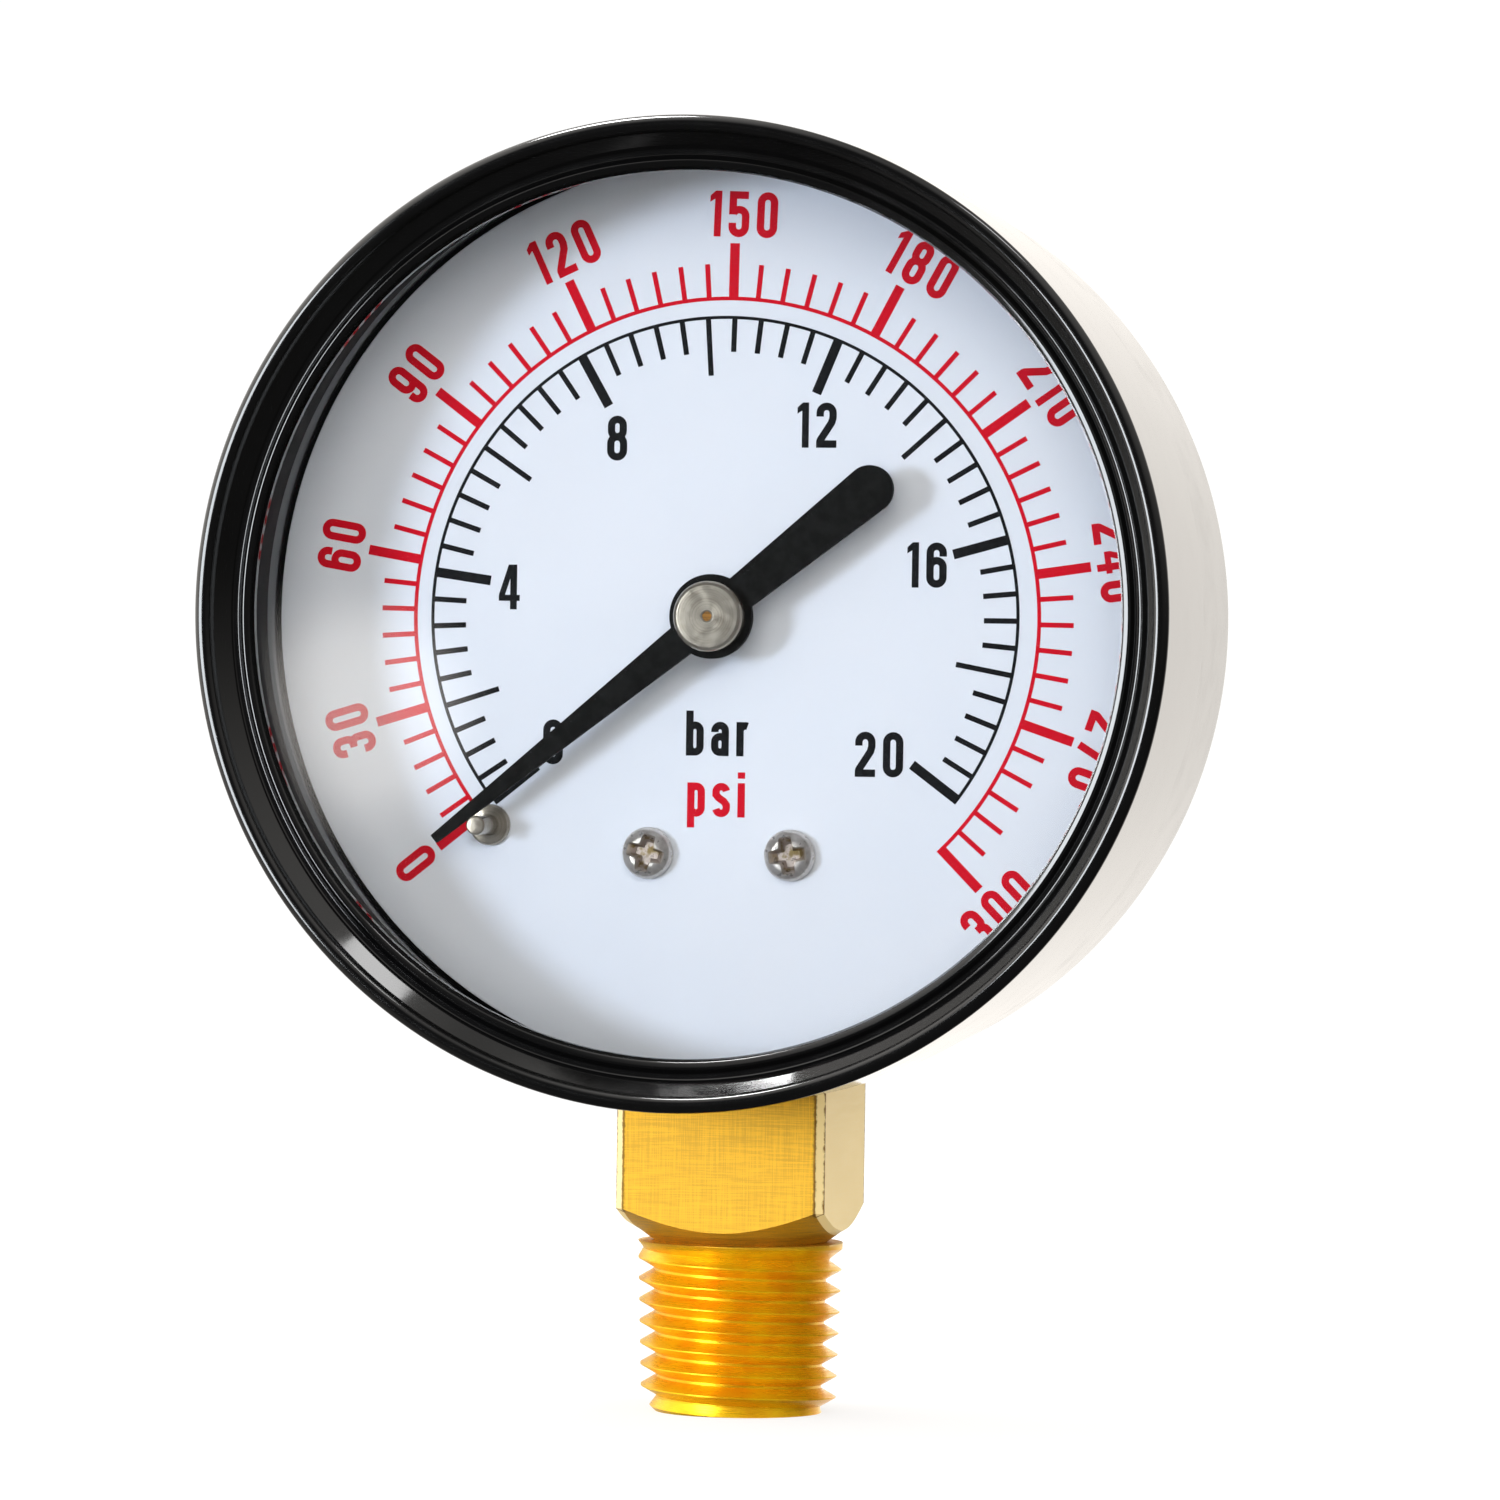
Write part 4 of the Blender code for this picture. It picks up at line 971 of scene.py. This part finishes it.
def build_socket(material):
    low, high = box_of("socket", STEM_END)
    dial_height, dial_y = CENTRE.z / MM, CENTRE.y / MM
    block_bottom, block_top = dial_height - 28.0, high.z
    block_outline = box_outline(-10, 10, block_bottom, block_top, 0.8)
    block = sheet([block_outline], dial_y + 4.1, dial_y + 15.9)
    steps = [("UNION", square_body(block_bottom + 0.05)), ("UNION", block)]
    tube = tube_sweep(2.8, 6.6, TUBE_ROOT - 1.5, TUBE_BENDS_FROM, 12)
    steps.append(("DIFFERENCE", moved(tube, 0, dial_y, dial_height)))
    bore = rounded([(0, -1, 0), (2.6, -1, 0), (1.95, 0.55, 0.1), (1.95, 31, 0), (0, 31, 0)])
    steps.append(("DIFFERENCE", turned(bore, MEDIUM, upright=True)))
    for kind, radius, start, end in (("movement", 1.02, 3.0, 8.4), ("case", 1.33, 12.7, 17.0)):
        for side in ("left", "right"):
            x, z = middle_of(f"{kind}_screw_{side}")
            hole = turned([(0, start), (radius, start), (radius, end), (0, end)], SMALL)
            steps.append(("DIFFERENCE", moved(hole, x, dial_y, dial_height + z)))
    bm = joined(thread_body(), steps)
    piece("stem_socket", bm, material, "gauge", ["socket"], at=STEM_END, smooth=30)


# -------------------------------------------------------------------------------------- inner movement


def tube_sweep(thickness, width, start, end, steps):
    """A round-edged flat section swept along the tube's arc between two clock angles."""
    sides = 24
    edge = thickness / 2
    straight = width / 2 - edge
    section = []
    for i in range(sides):
        angle = math.tau * (i + 0.5) / sides
        along = edge * math.sin(angle)
        section.append((edge * math.cos(angle), along + math.copysign(straight, along)))
    rows = []
    for step in range(steps + 1):
        out_x, out_z = polar(1, start + (end - start) * step / steps)
        row = []
        for out, along in section:
            reach = TUBE_RADIUS + out
            row.append((reach * out_x, TUBE_MIDDLE + along, reach * out_z))
        rows.append(row)
    return loft(rows)


def build_tube(material):
    """The Bourdon tube, swept along its arc from its root in the block to its tip."""
    outer = tube_sweep(2.2, 6.0, TUBE_ROOT, TUBE_END, 138)
    inner = tube_sweep(1.4, 5.2, TUBE_ROOT - TUBE_OPEN, TUBE_END - TUBE_OPEN, 138)
    bm = moved(joined(outer, [("DIFFERENCE", inner)]), CENTRE.x / MM, CENTRE.y / MM, CENTRE.z / MM)
    made = piece("flat_spring_tube", bm, material, None, at=STEM_END)
    places = (polar(TUBE_RADIUS, clock) for clock in (TUBE_BENDS_FROM, TUBE_MEETS_TIP))
    start, end = (CENTRE + Vector((x, TUBE_MIDDLE, z)) * MM for x, z in places)
    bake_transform(made)
    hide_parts("bourdon_tube")


def dress_movement(brass, steel, nickel, bronze, arbor_brass):
    """The hidden movement keeps its CAD shapes and gets the metals it is made of."""
    for name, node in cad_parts.items():
        if any(word in name for word in ("plate_screw", "movement_screw", "case_screw")):
            chosen = nickel
        elif any(word in name for word in ("link", "tip_pin", "sector_arbor")):
            chosen = steel
        elif name == "hairspring":
            chosen = bronze
        # The pinion arbor, whose end shows deep in the pointer cap's hole, gets a dark brown brass
        elif name == "pinion_arbor":
            chosen = arbor_brass
        else:
            chosen = brass
        node.data.materials.clear()
        node.data.materials.append(chosen)


# ------------------------------------------------------------------------------ camera, floor and light


def build_camera():
    """A long lens a little to the right, at the height of the dial."""
    azimuth, elevation, roll = (math.radians(angle) for angle in (12.439, 0.318, 0.830))
    back = Vector((
        math.sin(azimuth) * math.cos(elevation),
        -math.cos(azimuth) * math.cos(elevation),
        math.sin(elevation),
    ))
    right = Vector((math.cos(azimuth), math.sin(azimuth), 0))
    up = back.cross(right)
    across = right * math.cos(roll) + up * math.sin(roll)
    upward = up * math.cos(roll) - right * math.sin(roll)
    place = CENTRE + Vector((114.571, -510.663, -5.755)) * MM
    data = bpy.data.cameras.new("camera")
    data.lens = 192
    data.sensor_width = 36
    data.clip_start = 0.01
    made = bpy.data.objects.new("camera", data)
    bpy.context.scene.collection.objects.link(made)
    turn = Matrix((across, upward, back)).transposed()
    made.matrix_world = Matrix.Translation(place) @ turn.to_4x4()
    bpy.context.scene.camera = made


def build_floor():
    """A white floor that is nearly as bright by itself as the background, so that shadows stay faint."""
    look = Look("floor_white", (0.25, 0.248, 0.245), 0.0, 0.9, Specular_IOR_Level=0.0)
    look.colour(look.blend(look.noise(0.02, 3.0), (0.25, 0.248, 0.245), (0.24, 0.238, 0.235)))
    look.surface.inputs["Emission Color"].default_value = (1.0, 0.995, 0.985, 1)
    look.surface.inputs["Emission Strength"].default_value = 0.8
    bm = bmesh.new()
    bmesh.ops.create_circle(bm, cap_ends=True, radius=350, segments=128)
    floor = piece("floor", bm, look.material, None, at=STEM_END)
    floor.visible_glossy = False
    floor.visible_diffuse = False
    floor.visible_shadow = False


def lamp(name, direction, size, power, colour=(1, 1, 1), mirrored=True, lights=True):
    """A round soft lamp in a direction from the dial. It isn't seen itself; its mirror image may be."""
    data = bpy.data.lights.new(name, "AREA")
    data.shape = "DISK"
    data.size = size
    data.energy = power
    data.color = colour
    made = bpy.data.objects.new(name, data)
    bpy.context.scene.collection.objects.link(made)
    away = Vector(direction).normalized()
    made.location = CENTRE + away * LAMP_DISTANCE
    made.rotation_mode = "QUATERNION"
    made.rotation_quaternion = (-away).to_track_quat("-Z", "Y")
    made.visible_camera = False
    made.visible_glossy = mirrored
    made.visible_diffuse = lights


# Bright parts of the room, as the gauge mirrors them: the middle direction, the angles from it at which the
# glow starts to fade and is gone, the elevations between which it grows to full, and its colour
GLOWS = (
    ((0.30, 0.95, 0.0), 15, 45, (-80, -40), (0.97, 0.92, 0.86)),
    ((-0.85, 0.50, 0.0), 55, 100, (-80, -10), (0.68, 0.65, 0.61)),
    ((-0.75, -0.10, 0.65), 35, 65, (-30, 0), (1.2, 1.17, 1.12)),
    ((0.90, -0.20, 0.40), 30, 75, (-10, 55), (0.75, 0.73, 0.7)),
    ((-0.2639, -0.9645, -0.0020), 0.0, 1.0, (-30, -20), (3.1, 2.95, 2.8)),
)
ROOM = 0.035


def build_light():
    """White to the camera; a dim room with a bright backdrop and walls for everything else."""
    scene = bpy.context.scene
    scene.view_settings.view_transform = "Standard"
    world = bpy.data.worlds.new("studio")
    scene.world = world
    world.use_nodes = True
    tree = world.node_tree
    tree.nodes.clear()

    def add(kind, inputs=None, **settings):
        made = tree.nodes.new(kind)
        for key, value in settings.items():
            setattr(made, key, value)
        for key, value in (inputs or {}).items():
            if isinstance(value, bpy.types.NodeSocket):
                tree.links.new(value, made.inputs[key])
            else:
                made.inputs[key].default_value = value
        return made

    def vectors(operation, a, b):
        return add("ShaderNodeVectorMath", {0: a, 1: b}, operation=operation)

    def grown(value, low, high):
        inputs = {"Value": value, "From Min": low, "From Max": high}
        return add("ShaderNodeMapRange", inputs, interpolation_type="SMOOTHSTEP").outputs[0]

    way = add("ShaderNodeTexCoord").outputs["Generated"]
    height = add("ShaderNodeSeparateXYZ", {0: way}).outputs["Z"]
    room = (ROOM,) * 3
    for direction, inner, outer, elevations, colour in GLOWS:
        facing = vectors("DOT_PRODUCT", way, Vector(direction).normalized()).outputs["Value"]
        share = grown(facing, math.cos(math.radians(outer)), math.cos(math.radians(inner)))
        raised = grown(height, *(math.sin(math.radians(angle)) for angle in elevations))
        strength = add("ShaderNodeMath", {0: share, 1: raised}, operation="MULTIPLY").outputs[0]
        glow = vectors("MULTIPLY", strength, colour)
        room = vectors("ADD", room, glow.outputs[0]).outputs[0]
    lit = add("ShaderNodeBackground", {"Color": room})
    seen = add("ShaderNodeBackground", {"Color": (1, 1, 1, 1), "Strength": 1.05})
    from_camera = add("ShaderNodeLightPath").outputs["Is Camera Ray"]
    mix = add("ShaderNodeMixShader", {0: from_camera, 1: lit.outputs[0], 2: seen.outputs[0]})
    output = add("ShaderNodeOutputWorld")
    tree.links.new(mix.outputs[0], output.inputs["Surface"])

    lamp("light_key", (-0.469, -0.883, 0.017), 0.12, 1.85, (0.68, 0.78, 1.0), mirrored=False)
    lamp("light_key_glint", (-0.559, -0.829, 0.017), 0.31, 3.2, (0.9, 0.95, 1.0), lights=False)
    lamp("light_overhead", (-0.34, -0.02, 0.94), 0.2, 4.6)
    lamp("light_small", (0.484, -0.176, 0.857), 0.126, 0.31)
    lamp("light_front", (0.1, -0.98, 0.12), 0.4, 1.8, (1.0, 0.98, 0.99), mirrored=False)
    lamp("light_fill", (0.35, -0.75, 0.5), 0.5, 1.0, (1.0, 0.98, 0.99), mirrored=False)
    lamp("light_right", (0.85, -0.5, -0.1), 0.3, 1.5, (1.0, 0.95, 0.86), mirrored=False)
    lamp("light_under", (-0.2, -0.5, -0.84), 0.3, 1.5, (1.0, 0.97, 0.9), mirrored=False)


# --------------------------------------------------------------------------------------------- assembly


def main():
    build_camera()
    case_black = enamel("case_enamel", (0.004, 0.004, 0.004), 0.1, 0.16)
    bezel_black = enamel("bezel_enamel", (0.0018, 0.0018, 0.0018), 0.07, 0.11)
    nickel = turned_metal("nickel_plate", (0.41, 0.37, 0.3), (0.25, 0.21, 0.16), 0.2, 0.6, depth=0.003)
    movement_brass = rolled_metal("movement_brass", (0.8, 0.6, 0.27), (0.6, 0.4, 0.15), 0.32, "z")
    steel = turned_metal("bright_steel", (0.6, 0.6, 0.62), (0.42, 0.42, 0.43), 0.3)
    bronze = rolled_metal("spring_bronze", (0.72, 0.45, 0.22), (0.5, 0.28, 0.12), 0.3, "y")
    soft_black = rubber()
    arbor_brass = turned_metal("arbor_dark_brass", (0.32, 0.15, 0.035), (0.1, 0.05, 0.02), 0.4)
    dress_movement(movement_brass, steel, nickel, bronze, arbor_brass)
    build_bezel(bezel_black)
    build_case(case_black, soft_black)
    build_plug(soft_black)
    build_window(clear_window(), soft_black)
    build_dial(dial_paint(), ink("ink_red", (0.72, 0.0005, 0.014), (0.75, 0.003, 0.026)),
               ink("ink_black", (0.004, 0.004, 0.005), (0.014, 0.015, 0.016)))
    build_dial_screws(screw_metal())
    build_stop_pin(nickel)
    build_pointer(pointer_paint(), nickel, movement_brass)
    build_socket(stem_brass())
    build_tube(bronze)
    build_floor()
    build_light()


main()
